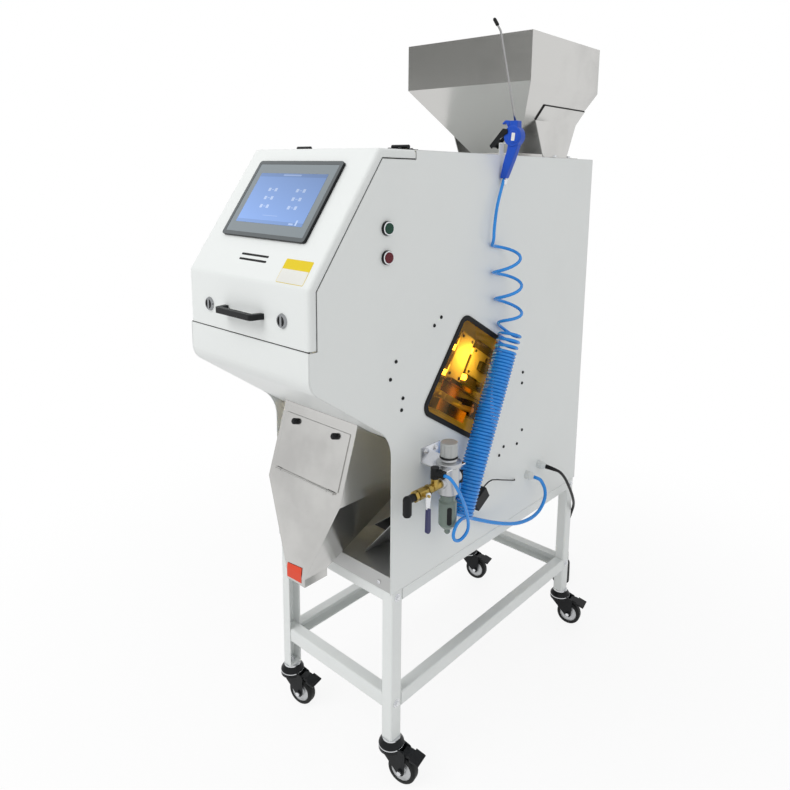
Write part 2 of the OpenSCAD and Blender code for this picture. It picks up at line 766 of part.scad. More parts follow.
module hmi_glass() {
    color([0.15, 0.25, 0.5]) on_slope() translate([hmi_x, hmi_up + hmi_h / 2, hmi_frame_t - glass_t])
        linear_extrude(glass_t - 0.4)
            polygon(rect(hmi_w - 2 * (hmi_border + seat_gap), hmi_h - 2 * (hmi_border + seat_gap), 2.8));
}

module lid_handle() {
    path = outline([[-handle_w / 2, nose_y, 0], [-handle_w / 2 + 6, nose_y - handle_reach, 9],
        [handle_w / 2 - 6, nose_y - handle_reach, 9], [handle_w / 2, nose_y, 0]]);
    inner = [[handle_w / 2 - handle_t, nose_y], [handle_w / 2 - handle_t - 4,
        nose_y - handle_reach + handle_t],
        [-handle_w / 2 + handle_t + 4, nose_y - handle_reach + handle_t], [-handle_w / 2 + handle_t,
            nose_y]];
    color(black) translate([0, 0, lock_z - handle_t / 2]) linear_extrude(handle_t)
        polygon(concat(path, inner));
}

// Cam lock; side is -1 on the left and 1 on the right
module lid_lock(side) {
    color(zinc) translate([side * lock_x, 0, lock_z]) {
        translate([0, nose_y - seat_gap, 0]) rotate([90, 0, 0]) difference() {
            cylinder(d1 = lock_d, d2 = lock_d - 4, h = 4);
            translate([0, 0, 1.5]) cylinder(d = lock_d - 9, h = 4);
        }
        translate([-3, nose_y - seat_gap - 4.5, -lock_d * 0.36]) cube([6, 4, lock_d * 0.72]);
        along(nose_y - seat_gap - 2, cam_y + cam_t) circle(d = lock_barrel_d);
        translate([side < 0 ? -cam_len : 0, cam_y, -8]) cube([cam_len, cam_t, 16]);
    }
}

module front_chute() {
    w = chute_w / 2;
    top = [-w, w, chute_y, mouth_y, chute_z];
    low = [-outlet_w / 2, outlet_w / 2, outlet_y, outlet_y + outlet_d, collar_z];
    i_top = [-w + chute_t, w - chute_t, chute_y + chute_t, mouth_y - chute_t, chute_z + 0.01];
    i_low = [-outlet_w / 2 + chute_t, outlet_w / 2 - chute_t, outlet_y + chute_t,
        outlet_y + outlet_d - chute_t, collar_z];
    rear_h = 60;
    in_y = front + 24;
    gap_z = seat_gap / cos(under_angle);
    wall_y = chute_t / sin(face_a);
    color(steel) difference() {
        union() {
            across(-w, w) polygon([[chute_y, chute_z], [chute_top_y, chute_top_z], [chute_top_y,
                under_at(chute_top_y) - gap_z],
                [in_y, under_at(in_y) - gap_z], [mouth_y, chute_z + rear_h], [mouth_y, chute_z]]);
            frustum(low, top);
            translate([-outlet_w / 2, outlet_y, outlet_z]) cube([outlet_w, outlet_d, outlet_h]);
            on_face() door_pin();
        }
        across(-w + chute_t, w - chute_t) polygon([[chute_y + wall_y, chute_z], [chute_top_y + wall_y,
            chute_top_z],
            [chute_top_y + wall_y, top_z], [mouth_y - chute_t, top_z], [mouth_y - chute_t, chute_z]]);
        frustum(i_low, i_top);
        translate([-outlet_w / 2 + chute_t, outlet_y + chute_t, outlet_z - 1])
            cube([outlet_w - 2 * chute_t, outlet_d - 2 * chute_t, outlet_h + 2]);
        on_face() translate([door_frame - door_w / 2, door_up + door_frame,
            -3 * chute_t]) linear_extrude(6 * chute_t)
            square([door_w - 2 * door_frame, door_h - door_frame - door_frame_top]);
    }
}

module door_pin() {
    translate([0, door_up, door_knuckle_d / 2]) rotate([0, 90, 0]) {
        cylinder(d = door_pin_d, h = door_w - 20, center = true);
        for (x = [-1, 1]) translate([0, 0, x * (door_w / 2 - 20)]) {
            cylinder(d = door_knuckle_d, h = 20, center = true);
            translate([door_knuckle_d / 4, 0, 0]) cube([door_knuckle_d / 2 + 0.6, door_pin_d, 20],
                center = true);
        }
    }
}

module chute_door() {
    color(steel) on_face() difference() {
        union() {
            translate([0, door_up + door_h / 2 + door_knuckle_d / 4 + side_gap,
                seat_gap]) linear_extrude(door_t)
                polygon(rect(door_w, door_h - door_knuckle_d / 2 - 2 * side_gap, 2));
            translate([0, door_up, door_knuckle_d / 2]) rotate([0, 90, 0])
                cylinder(d = door_knuckle_d, h = door_w - 62, center = true);
            translate([-door_w / 2 + 31, door_up, seat_gap]) cube([door_w - 62, door_knuckle_d, door_t]);
        }
        translate([0, door_up, door_knuckle_d / 2]) rotate([0, 90, 0])
            cylinder(d = door_pin_d + 2 * run_gap, h = door_w, center = true);
        for (x = [-knob_x, knob_x]) translate([x, door_up + door_knob_up, -1])
            cylinder(d = door_knob_d / 2 + 2 * run_gap, h = 4 * door_t);
    }
}

module door_latch(side) {
    color(black) on_face() translate([side * knob_x, door_up + door_knob_up, 0]) {
        translate([0, 0, 2 * seat_gap + door_t]) rotate_extrude() polygon(outline([[0, 0, 0],
            [door_knob_d / 2, 0, 0],
            [door_knob_d / 2, 9, 2], [door_knob_d / 2 - 3, 12, 1], [0, 12, 0]]));
        translate([0, 0, -chute_t - 4]) cylinder(d = door_knob_d / 2, h = chute_t + 5 + door_t);
        translate([-16, -3, -chute_t - 4 - tongue_t / 2]) cube([32, 6, tongue_t]);
    }
}

module product_tray() {
    y0 = lip_y + 50;
    y1 = lip_y + 190;
    y2 = lip_y + 260;
    y3 = lip_y + 380;
    floor_z = base_z + 6;
    back_z = base_z + 190;
    front_z = base_z + lip_h + (floor_z - base_z - lip_h) * (y0 - lip_y) / (y1 - lip_y);
    region = [[y0, front_z], [y1, floor_z], [y2, floor_z], [y3, back_z], [y0, back_z]];
    color(steel) {
        across(-fit_x, fit_x) polygon(strip([[lip_y, base_z], [lip_y, base_z + lip_h], [y1, floor_z]],
            chute_t));
        across(-fit_x, fit_x) polygon(strip([[y2, floor_z], [y3, back_z]], chute_t));
        both_sides() intersection() {
            along(y0, y3) polygon(strip([[fit_x, back_z], [44, floor_z]], chute_t));
            across(0, half_w) polygon(region);
        }
    }
}

module hopper() {
    w = hopper_w / 2;
    t = chute_t;
    rim = [-w, w, hopper_front, hopper_rear, hopper_low];
    neck = [-neck_w / 2, neck_w / 2, neck_y0, neck_y1, neck_z];
    i_rim = [-w + t, w - t, hopper_front + t, hopper_rear - t, hopper_low + 0.01];
    i_neck = [-neck_w / 2 + t, neck_w / 2 - t, neck_y0 + t, neck_y1 - t, neck_z];
    color(steel) difference() {
        union() {
            translate([-w, hopper_front, hopper_low]) cube([hopper_w, hopper_d, hopper_box_h]);
            frustum(neck, rim);
            translate([-neck_w / 2, neck_y0, top_z - neck_drop]) cube([neck_w, neck_d,
                neck_drop + neck_up]);
        }
        translate([-w + t, hopper_front + t, hopper_low]) cube([hopper_w - 2 * t, hopper_d - 2 * t,
            hopper_box_h + 1]);
        frustum(i_neck, i_rim);
        translate([-neck_w / 2 + t, neck_y0 + t, top_z - neck_drop - 1])
            cube([neck_w - 2 * t, neck_d - 2 * t, neck_drop + neck_up + 2]);
    }
}

module hopper_brackets() {
    x = bracket_x + bracket_t + 2 * seat_gap;
    color(steel) both_sides() {
        rotate([0, 0, 90]) rotate([90, 0, 0]) translate([0, 0,
            x - bracket_t]) linear_extrude(bracket_t) polygon([
            [bracket_y - bracket_foot_w / 2, top_z], [bracket_y + bracket_foot_w / 2, top_z],
            [bracket_y + bracket_w / 2, bracket_z], [bracket_y - bracket_w / 2, bracket_z]]);
        along(bracket_y - bracket_w / 2, bracket_y + bracket_w / 2) polygon(strip(
            [[x - bracket_t, bracket_z], [x - bracket_t + bracket_top * sin(bracket_a),
                bracket_z + bracket_top * cos(bracket_a)]],
            bracket_t));
        translate([x - bracket_t, bracket_y - bracket_foot_w / 2, top_z]) cube([bracket_foot,
            bracket_foot_w, bracket_t]);
    }
}

module feeder_tray() {
    z = top_z - neck_drop - 40;
    y0 = slide_top.x - 6;
    y1 = neck_y1 + 10;
    color(steel) {
        translate([-slide_w / 2, y0, z]) cube([slide_w, y1 - y0, chute_t]);
        both_sides() translate([slide_w / 2 - chute_t, y0, z]) cube([chute_t, y1 - y0, 34]);
        translate([-slide_w / 2, y1 - chute_t, z]) cube([slide_w, chute_t, 34]);
        translate([-30, neck_y0, z - 20]) cube([60, neck_d - 20, 20.5]);
    }
}

module feeder_drive() {
    z = top_z - neck_drop - 60 - seat_gap;
    color(grey) {
        for (y = [neck_y0 + 20, neck_y1 - 50]) translate([-25, y, z - 74]) cube([50, 5, 74]);
        translate([-45, neck_y0, z - 110]) cube([90, neck_d - 10, 40]);
        for (y = [neck_y0 + 25, neck_y1 - 40]) across(-fit_x, fit_x) translate([y,
            z - 96]) circle(d = rod_d);
    }
}

module slide_chute() {
    dir = unit(slide_top - slide_low);
    out = [-dir.y, dir.x];
    color(grey) {
        across(-slide_w / 2, slide_w / 2) polygon(strip([slide_low, slide_top], 3));
        both_sides() across(slide_w / 2 - 3, slide_w / 2)
            polygon([slide_low - 3 * out, slide_top - 3 * out, slide_top + 24 * out,
                slide_low + 24 * out]);
        for (k = [0.12, 0.8]) across(-fit_x, fit_x) translate(slide_low + k * (slide_top - slide_low)
            - out * (rod_d / 2 + 2))
            circle(d = rod_d);
    }
}

// Section of an optical unit, set square to the product stream at a distance from it
module optic_at(away, up) {
    dir = [cos(slide_a), sin(slide_a)];
    out = [-dir.y, dir.x];
    translate(stream + away * out + up * dir) rotate(slide_a) children();
}

module camera_units() {
    color([0.2, 0.2, 0.21]) for (side = [-1, 1]) {
        across(-150, 150) optic_at(side * 105, side < 0 ? 10 : 0) square([120, 80], center = true);
        for (k = [-1, 1]) across(-fit_x, fit_x) optic_at(side * 118, k * 34) circle(d = rod_d);
    }
    color([0.95, 0.9, 0.75]) for (side = [-1, 1]) for (k = [-1, 1])
        across(-150, 150) optic_at(side * (65 - 8 - seat_gap), k * 36) circle(d = 16);
}

module ejector_block() {
    color(grey) {
        across(-140, 140) optic_at(-52, -112) square([50, 62], center = true);
        across(-fit_x, fit_x) optic_at(-62, -112) circle(d = rod_d);
        for (x = [-120:40:120]) across(x - 6, x + 6) optic_at(-16, -100) square([8, 12], center = true);
    }
}

module window_pane() {
    color(amber) across(half_w - pane_t, half_w) offset(delta = -6 - seat_gap) polygon(window_outline);
}

module window_seal() {
    color(black) {
        across(half_w + seat_gap, half_w + 3) difference() {
            offset(delta = seal_w - 6) polygon(window_outline);
            offset(delta = -6) polygon(window_outline);
        }
        across(inner_x, half_w + 1) difference() {
            offset(delta = -seat_gap) polygon(window_outline);
            offset(delta = -6) polygon(window_outline);
        }
    }
}

module button_bezels() {
    color(zinc) for (z = [green_z, red_z]) on_panel(button_py, z) {
        rotate_extrude() polygon([[button_d / 2 + run_gap, 1], [button_d / 2 + run_gap, bezel_h],
            [bezel_d / 2 - 1.5, bezel_h],
            [bezel_d / 2, bezel_h - 2.5], [bezel_d / 2, seat_gap], [0, seat_gap], [0, 1]]);
        translate([0, 0, -sheet - 34]) cylinder(d = barrel_d, h = sheet + 34.6);
    }
}

module button_head(z, tint) {
    color(tint) on_panel(button_py, z) translate([0, 0, 1.4 + button_travel]) rotate_extrude()
        polygon(outline([[0, 0, 0], [button_d / 2, 0, 0], [button_d / 2,
            bezel_h - button_travel + 0.6, 1.2],
            [0, bezel_h - button_travel + 0.6, 0]]));
}

module regulator_body() {
    bracket_low = body_top + seat_gap;
    color(grey) difference() {
        union() {
            translate([reg_x, reg_py, bowl_top + seat_gap]) cylinder(d = reg_d,
                h = body_top - bowl_top - seat_gap);
            translate([reg_x, reg_py - reg_d / 2 - 8, reg_z]) rotate([-90, 0, 0]) cylinder(d = 28,
                h = reg_d + 16);
            translate([reg_x, reg_py, body_top - 1]) cylinder(d = neck_d_reg, h = plate_t + 3);
            translate([reg_x, reg_py, bracket_low + plate_t + seat_gap]) rotate_extrude()
                polygon(outline([[0, 0, 0],
                [reg_d / 2 + 5, 0, 0], [reg_d / 2 + 5, 8, 2], [neck_d_reg / 2 + 1, 12, 2],
                    [neck_d_reg / 2, bonnet_h, 0],
                [0, bonnet_h, 0]]));
        }
        translate([reg_x, reg_py, body_top + bonnet_h - 8]) cylinder(d = 12 + 2 * run_gap, h = 30);
    }
    color(zinc) difference() {
        union() {
            translate([half_w, reg_py - 34, bracket_low]) cube([reg_out + 22, 68, plate_t]);
            translate([half_w, reg_py - 34, bracket_low]) cube([plate_t, 68, 36]);
        }
        translate([reg_x, reg_py, bracket_low - 1]) cylinder(d = neck_d_reg + 2 * seat_gap,
            h = plate_t + 2);
    }
}

module regulator_knob() {
    z = body_top + plate_t + 2 * seat_gap + bonnet_h + 0.5;
    color(white) translate([reg_x, reg_py, z]) {
        difference() {
            cylinder(d = reg_knob_d, h = 32);
            for (i = [0:7]) rotate(i * 45) translate([reg_knob_d / 2 + 3.5, 0, -1]) cylinder(d = 11,
                h = 28, $fn = 24);
            translate([0, 0, 30]) difference() {
                cylinder(d = reg_knob_d + 2, h = 3);
                cylinder(d1 = reg_knob_d, d2 = reg_knob_d - 5, h = 3);
            }
        }
        translate([0, 0, -8]) cylinder(d = 12, h = 9);
    }
}

module regulator_bowl() {
    r = bowl_d / 2;
    color([0.62, 0.68, 0.64]) translate([reg_x, reg_py,
        bowl_top]) rotate_extrude() polygon(outline([[0, 0, 0], [r - 2, 0, 0],
        [r - 4, -18, 3], [r, -22, 2], [r, -bowl_h + 26, 4], [r - 8, -bowl_h + 16, 3], [7,
            -bowl_h + 13, 0], [7, -bowl_h + 4, 1],
        [4, -bowl_h, 0], [0, -bowl_h, 0]]));
}

module inlet_valve() {
    color(brass) {
        translate([reg_x, tee_y - 10, reg_z]) rotate([-90, 0, 0]) cylinder(d = 20,
            h = reg_py - reg_d / 2 - 8 - tee_y + 10);
        translate([reg_x, tee_y, reg_z]) cylinder(d = 18, h = push_z - reg_z);
        translate([reg_x, valve_y - 14, reg_z]) rotate([-90, 0, 0]) cylinder(d = hex_d, h = 28, $fn = 8);
        translate([reg_x, valve_y, reg_z]) rotate([-90, 0, 0]) cylinder(d = 17, h = tee_y - valve_y);
        for (y = [valve_y - 26, valve_y + 18]) translate([reg_x, y, reg_z]) rotate([-90, 0, 0])
            cylinder(d = hex_d, h = 9, $fn = 6);
        translate([reg_x, elbow_y + 20, reg_z]) rotate([-90, 0, 0]) cylinder(d = 15,
            h = valve_y - elbow_y - 20);
        translate([reg_x, valve_y, reg_z]) rotate([0, 90, 0]) cylinder(d = 12,
            h = lever_x - reg_x - lever_gap);
        translate([reg_x, valve_y, reg_z]) rotate([0, 90, 0]) cylinder(d = 6, h = lever_x - reg_x + 6);
    }
}

module valve_lever() {
    color([0.08, 0.08, 0.35]) difference() {
        union() {
            across(lever_x, lever_x + 3) hull() {
                translate([valve_y, reg_z]) circle(d = 16, $fn = 32);
                translate([valve_y, reg_z - 30]) circle(d = 9, $fn = 32);
            }
            across(lever_x - 1.5, lever_x + 5) hull() {
                translate([valve_y, reg_z - 34]) circle(d = 11, $fn = 32);
                translate([valve_y, reg_z - lever_len + 7]) circle(d = 13, $fn = 32);
            }
        }
        across(lever_x - 3, lever_x + 9) translate([valve_y, reg_z]) circle(d = 6 + 2 * run_gap);
    }
}

module push_fittings() {
    color(black) {
        translate([reg_x, tee_y, push_z + seat_gap]) cylinder(d = 20, h = 26);
        translate([reg_x, tee_y, push_z + 14]) rotate([0, 90, 0]) cylinder(d = 17, h = push_len);
        difference() {
            union() {
                translate([reg_x, elbow_y, reg_z]) sphere(d = 20);
                translate([reg_x, elbow_y, reg_z]) rotate([-90, 0, 0]) cylinder(d = 18,
                    h = 20 - seat_gap);
                translate([reg_x, elbow_y, reg_z - 33]) cylinder(d = 20, h = 33);
                translate([reg_x, elbow_y, reg_z - 37]) cylinder(d = 16, h = 10);
            }
            translate([reg_x, elbow_y, reg_z - 38]) cylinder(d = inlet_d, h = 25);
        }
        translate([reg_x, reg_py + reg_d / 2 + 8 + seat_gap, reg_z]) rotate([-90, 0,
            0]) cylinder(d = 18, h = 10);
        translate([reg_x, air_out_y, air_out_z]) cylinder(d = 16, h = reg_z - air_out_z + 8);
    }
}

module pressure_switch() {
    color(black) {
        on_panel(switch_at.x, switch_at.y) rotate(90 + switch_a) translate([0, 0, 18 + seat_gap])
            cube([52, 32, 36], center = true);
        tube(eased(wire_route, 2), wire_d);
    }
}

module gun_body() {
    color(blue) translate([0, gun_py + gun_t / 2, 0]) rotate([90, 0,
        0]) linear_extrude(gun_t) difference() {
        union() {
            translate([gun_x, gun_z]) circle(d = gun_head_d);
            polygon(outline([[gun_x - 10, gun_z - 16, 0], [gun_x + 20, gun_z - 10, 6], [gun_x - 16,
                gun_z - 100, 3],
                [gun_x - 34, gun_z - 100, 3], [gun_x - 24, gun_z - 56, 8]]));
            polygon(outline([[gun_x - 12, gun_z + 10, 0], [gun_x + 14, gun_z + 10, 0], [gun_x + 13,
                gun_z + 36, 2],
                [gun_x - 8, gun_z + 36, 2]]));
            polygon(outline([[gun_x - 14, gun_z + 16, 2], [gun_x - 8, gun_z + 36, 2], [gun_x - 24,
                gun_z + 38, 2],
                [gun_x - 34, gun_z + 30, 1], [gun_x - 30, gun_z + 27, 1], [gun_x - 22, gun_z + 31, 2]]));
        }
        translate([trigger_x, trigger_z]) circle(d = trigger_pin_d + 2 * run_gap);
    }
    color(steel) translate([0, gun_py, 0]) {
        tube(eased([for (p = [[2, 36.2], [-6, 90], [-26, 180], [-46, 246], [-64, 268]]) [gun_x + p.x,
            0, gun_z + p.y]], 3),
            nozzle_d);
    }
}

module gun_trigger() {
    color(black) translate([0, gun_py, 0]) {
        for (y = [-gun_t / 2 - side_gap - 2.5, gun_t / 2 + side_gap]) translate([0, y + 2.5,
            0]) rotate([90, 0, 0])
            linear_extrude(2.5) polygon(outline([[trigger_x + 5, trigger_z + 4, 2], [trigger_x - 8,
                trigger_z + 6, 2],
                [trigger_x - 46, trigger_z - 34, 2], [trigger_x - 40, trigger_z - 42, 2],
                    [trigger_x - 20, trigger_z - 20, 6],
                [trigger_x + 5, trigger_z - 5, 2]]));
        translate([0, gun_t / 2 + side_gap + 1, 0]) rotate([90, 0,
            0]) linear_extrude(gun_t + 2 * side_gap + 2)
            polygon([[trigger_x - 30, trigger_z - 18], [trigger_x - 46, trigger_z - 34],
                [trigger_x - 43, trigger_z - 38],
                [trigger_x - 27, trigger_z - 22]]);
        translate([trigger_x, gun_t / 2 + side_gap + 1, trigger_z]) rotate([90, 0, 0])
            cylinder(d = trigger_pin_d, h = gun_t + 2 * side_gap + 2);
    }
}

module cable_glands() {
    color(white) for (g = [air_gland, power_gland]) on_panel(g.x, g.y) {
        translate([0, 0, seat_gap]) cylinder(d = gland_d + 4, h = 8, $fn = 6);
        translate([0, 0, seat_gap]) rotate_extrude() polygon(outline([[0, 0, 0], [gland_d / 2, 0, 0],
            [gland_d / 2, 16, 5],
            [air_d / 2 + 2, gland_len - seat_gap, 1], [0, gland_len - seat_gap, 0]]));
        translate([0, 0, -sheet - 8]) cylinder(d = 0.7 * gland_d - 2 * seat_gap, h = sheet + 9);
    }
}

module recoil_lines() {
    color(blue) {
        tube(eased(recoil_tail, 2), recoil_d);
        tube(recoil_lead, recoil_d);
    }
}

module recoil_coil() {
    color(blue) {
        tube([coil_low, coil_high], coil_d, 16);
        tube([coil_high, loose_high], loose_d, 16);
    }
}

module air_tube() {
    color(blue) tube(eased(air_route, 2), air_d);
}

module power_cord() {
    color(black) tube(eased(power_route, 2), power_d);
}

// Frame of the hank, with x along its runs
module at_hank() {
    translate([hank_start.x, hank_start.y, 0]) rotate(view_a) children();
}

module power_hank() {
    color(black) at_hank() translate([hank_run / 2, 0, 0]) linear_extrude(hank_h)
        polygon(rect(hank_run, hank_w, hank_w / 2 - 1));
}

module power_plug() {
    color(black) at_hank() translate([hank_run + 7, -7, 0]) {
        translate([22, 0, 12]) rotate([90, 0, 90]) linear_extrude(40, center = true) polygon(rect(34,
            24, 8));
        translate([-10, 0, 12]) rotate([0, 90, 0]) cylinder(d1 = 10, d2 = 15, h = 14);
        for (y = [-9.5, 9.5]) translate([41, y, 12]) rotate([0, 90, 0]) cylinder(d = 4.8, h = 19);
    }
}

stand_legs();
stand_rails();
caster_studs();
caster_fork(corners[0]);  // caster_fork_fl
caster_fork(corners[1]);  // caster_fork_fr
caster_fork(corners[2]);  // caster_fork_rl
caster_fork(corners[3]);  // caster_fork_rr
caster_wheel(corners[0]);  // caster_wheel_fl
caster_wheel(corners[1]);  // caster_wheel_fr
caster_wheel(corners[2]);  // caster_wheel_rl
caster_wheel(corners[3]);  // caster_wheel_rr
caster_pedal(corners[0]);  // caster_pedal_fl
caster_pedal(corners[1]);  // caster_pedal_fr
caster_pedal(corners[2]);  // caster_pedal_rl
caster_pedal(corners[3]);  // caster_pedal_rr
side_panel_left();
side_panel_right();
rear_top_cover();
front_fascia();
lid_shell();
lid_hinge_leaves();
cabinet_hinge_leaves();
hmi_housing();
hmi_glass();
lid_handle();
lid_lock(-1);  // lid_lock_left
lid_lock(1);  // lid_lock_right
front_chute();
chute_door();
door_latch(-1);  // door_latch_left
door_latch(1);  // door_latch_right
product_tray();
hopper();
hopper_brackets();
feeder_tray();
feeder_drive();
slide_chute();
camera_units();
ejector_block();
window_pane();
window_seal();
button_bezels();
button_head(green_z, [0.05, 0.45, 0.3]);  // green_button
button_head(red_z, [0.8, 0.15, 0.12]);  // red_button
regulator_body();
regulator_knob();
regulator_bowl();
inlet_valve();
valve_lever();
push_fittings();
pressure_switch();
gun_body();
gun_trigger();
cable_glands();
recoil_lines();
recoil_coil();
air_tube();
power_cord();
power_hank();
power_plug();
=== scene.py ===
import math

import bmesh
import bpy
from bpy.props import FloatProperty, FloatVectorProperty, IntProperty, PointerProperty
from mathutils import Matrix, Vector


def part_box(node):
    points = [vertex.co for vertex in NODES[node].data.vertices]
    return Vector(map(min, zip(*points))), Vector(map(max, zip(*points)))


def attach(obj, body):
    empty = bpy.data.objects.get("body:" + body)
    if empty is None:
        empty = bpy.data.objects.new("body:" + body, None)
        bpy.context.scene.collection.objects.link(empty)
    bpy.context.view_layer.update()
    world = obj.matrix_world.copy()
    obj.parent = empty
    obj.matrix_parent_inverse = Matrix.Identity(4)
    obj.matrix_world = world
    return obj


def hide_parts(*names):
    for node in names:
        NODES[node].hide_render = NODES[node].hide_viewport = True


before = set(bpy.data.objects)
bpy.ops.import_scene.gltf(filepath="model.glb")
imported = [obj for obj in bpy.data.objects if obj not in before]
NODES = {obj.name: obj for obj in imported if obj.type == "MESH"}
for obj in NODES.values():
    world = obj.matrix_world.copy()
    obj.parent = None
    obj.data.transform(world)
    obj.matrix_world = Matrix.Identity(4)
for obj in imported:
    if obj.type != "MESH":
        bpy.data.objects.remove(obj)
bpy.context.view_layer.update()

bl_info = {
    "name": "Colour sorter dressing",
    "version": (1, 0, 0),
    "blender": (4, 5, 0),
    "location": "View3D > Sidebar > Sorter",
    "description": "Finishes, hoses, fasteners and stage for the optical colour sorter",
    "category": "Object",
}

RIGHT, BACK, UP = (Vector(axis) for axis in ((1, 0, 0), (0, 1, 0), (0, 0, 1)))
WHITE = (1, 1, 1, 1)

# The camera, fitted to the machine's straight edges in a picture of 790 by 790
CAMERA_AT = (1.1791, -1.4483, 1.4486)
YAW, PITCH, ROLL = (math.radians(angle) for angle in (40.4, 10.26, 1.02))
IMAGE = 790.0
FOCAL = 682.8
CENTRE_X, CENTRE_Y = 430.3, 297.6
SENSOR = 36.0

# Main planes of the machine, in metres, the same as in the solids
HALF_W = 0.205
FRONT = -0.425
BASE_Z = 0.500
TOP_Z = 1.498
NOSE_Y = FRONT - 0.226
FOLD_Y = FRONT - 0.043
BACK_Y = FRONT + 0.066
BEND_Z = TOP_Z - 0.264
LID_LOW = BEND_Z - 0.119
SKIRT_W = 0.018
SEAM = 0.0025
LID_BEND_R = 0.014
LID_EDGE_R = 0.009
SLOPE_FOOT = Vector((0.0, NOSE_Y, BEND_Z))
SLOPE = Vector((0.0, FOLD_Y - NOSE_Y, TOP_Z - BEND_Z)).normalized()
SLOPE_OUT = Vector((0.0, -SLOPE.z, SLOPE.y))

# Where the falling grain passes the cameras, which way it falls, and the way out of its plane
STREAM = Vector((0.0, FRONT + 0.300, BASE_Z + 0.495))
STREAM_RUN = Vector((0.0, math.cos(math.radians(58)), math.sin(math.radians(58))))
STREAM_OUT = Vector((0.0, -STREAM_RUN.z, STREAM_RUN.y))

# Fittings
GUN = Vector((0.241, -0.046, 1.541))
REGULATOR = Vector((0.262, -0.295, 0.757))
LOCK_X = 0.126
SCREW_UP = (0.0, 0.31, 0.95)
PANEL_SCREWS = ((-0.264, 1.126), (-0.288, 1.110), (-0.414, 1.0505), (-0.431, 1.014), (-0.391, 0.963),
                (-0.395, 0.9365), (0.092, 0.919), (0.090, 0.889), (0.100, 0.751), (0.012, 0.728),
                (0.077, 0.717), (-0.008, 0.709))

# Routes of the hoses and the cord, in metres
RECOIL_TAIL = [(0.289, -0.344, 0.791), (0.303, -0.342, 0.789), (0.314, -0.330, 0.766),
               (0.314, -0.304, 0.722), (0.306, -0.278, 0.678), (0.300, -0.264, 0.644),
               (0.296, -0.266, 0.624), (0.294, -0.285, 0.6145), (0.293, -0.304, 0.621),
               (0.293, -0.311, 0.636), (0.292, -0.304, 0.650), (0.289, -0.287, 0.6585),
               (0.2855, -0.262, 0.657)]
COIL_LOW = Vector((0.2565, -0.238, 0.645))
COIL_TIGHT = Vector((0.2426, -0.054, 1.0108))
COIL_HIGH = Vector((0.241, -0.031, 1.056))
LOOSE_HIGH = Vector((0.2425, -0.068, 1.284))
COIL_R, SLACK_R, LOOSE_R, WIDE_R = 0.026, 0.027, 0.029, 0.034
TURN_STEPS = 20
AXIS_EASE = 0.06
RECOIL_LEAD = [(0.2235, -0.0925, 1.297), (0.223, -0.0905, 1.325), (0.2205, -0.079, 1.372),
               (0.218, -0.061, 1.413), (0.216, -0.046, 1.441)]
AIR_ROUTE = [(0.262, -0.253, 0.738), (0.259, -0.255, 0.712), (0.240, -0.258, 0.684), (0.220, -0.250, 0.658),
             (0.214, -0.222, 0.634), (0.216, -0.172, 0.602), (0.224, -0.112, 0.570), (0.236, -0.048, 0.540),
             (0.248, 0.020, 0.516), (0.255, 0.080, 0.508), (0.258, 0.124, 0.516), (0.258, 0.152, 0.540),
             (0.256, 0.156, 0.568), (0.248, 0.148, 0.594), (0.242, 0.138, 0.604), (0.231, 0.135, 0.606)]
POWER_ROUTE = [(0.231, 0.199, 0.617), (0.250, 0.204, 0.614), (0.262, 0.226, 0.600), (0.262, 0.262, 0.566),
               (0.254, 0.312, 0.510), (0.240, 0.360, 0.458), (0.2175, 0.407, 0.411), (0.193, 0.437, 0.358),
               (0.170, 0.456, 0.300), (0.156, 0.472, 0.200), (0.138, 0.502, 0.100), (0.118, 0.538, 0.040)]
HANK_START = Vector((0.098, 0.574, 0.0))
HANK_TURN = math.radians(118)
HANK_RUN = 0.150
HANK_W = 0.060
HANK_LAPS = 3


class SorterFinishes(bpy.types.PropertyGroup):
    """Colours of the machine's finishes"""

    powder: FloatVectorProperty(
        name="Powder coat", description="Colour of the painted sheet", subtype="COLOR", size=4,
        min=0, max=1, default=(0.80, 0.825, 0.815, 1))
    steel: FloatVectorProperty(
        name="Stainless", description="Tint of the stainless sheet", subtype="COLOR", size=4,
        min=0, max=1, default=(0.60, 0.595, 0.58, 1))
    hose: FloatVectorProperty(
        name="Hose", description="Colour of the air hoses", subtype="COLOR", size=4,
        min=0, max=1, default=(0.018, 0.275, 0.79, 1))
    amber: FloatVectorProperty(
        name="Window", description="Tint of the window pane", subtype="COLOR", size=4,
        min=0, max=1, default=(0.94, 0.46, 0.03, 1))
    screen: FloatVectorProperty(
        name="Screen", description="Ground colour of the lit picture", subtype="COLOR", size=4,
        min=0, max=1, default=(0.20, 0.34, 0.68, 1))


class SorterCords(bpy.types.PropertyGroup):
    """Sizes of the hoses and the power cord"""

    recoil_d: FloatProperty(
        name="Recoil hose", description="Diameter of the coiled hose", default=0.008, unit="LENGTH")
    air_d: FloatProperty(
        name="Air tube", description="Diameter of the plain air tube", default=0.010, unit="LENGTH")
    power_d: FloatProperty(
        name="Power cord", description="Diameter of the power cord", default=0.0085, unit="LENGTH")
    tight_turns: IntProperty(
        name="Tight turns", description="Whole turns of the closed part of the coil", default=49)
    slack_turns: FloatProperty(
        name="Slack turns", description="Turns just above the closed part", default=3.3)
    loose_turns: FloatProperty(
        name="Loose turns", description="Turns of the stretched part of the coil", default=3.312)


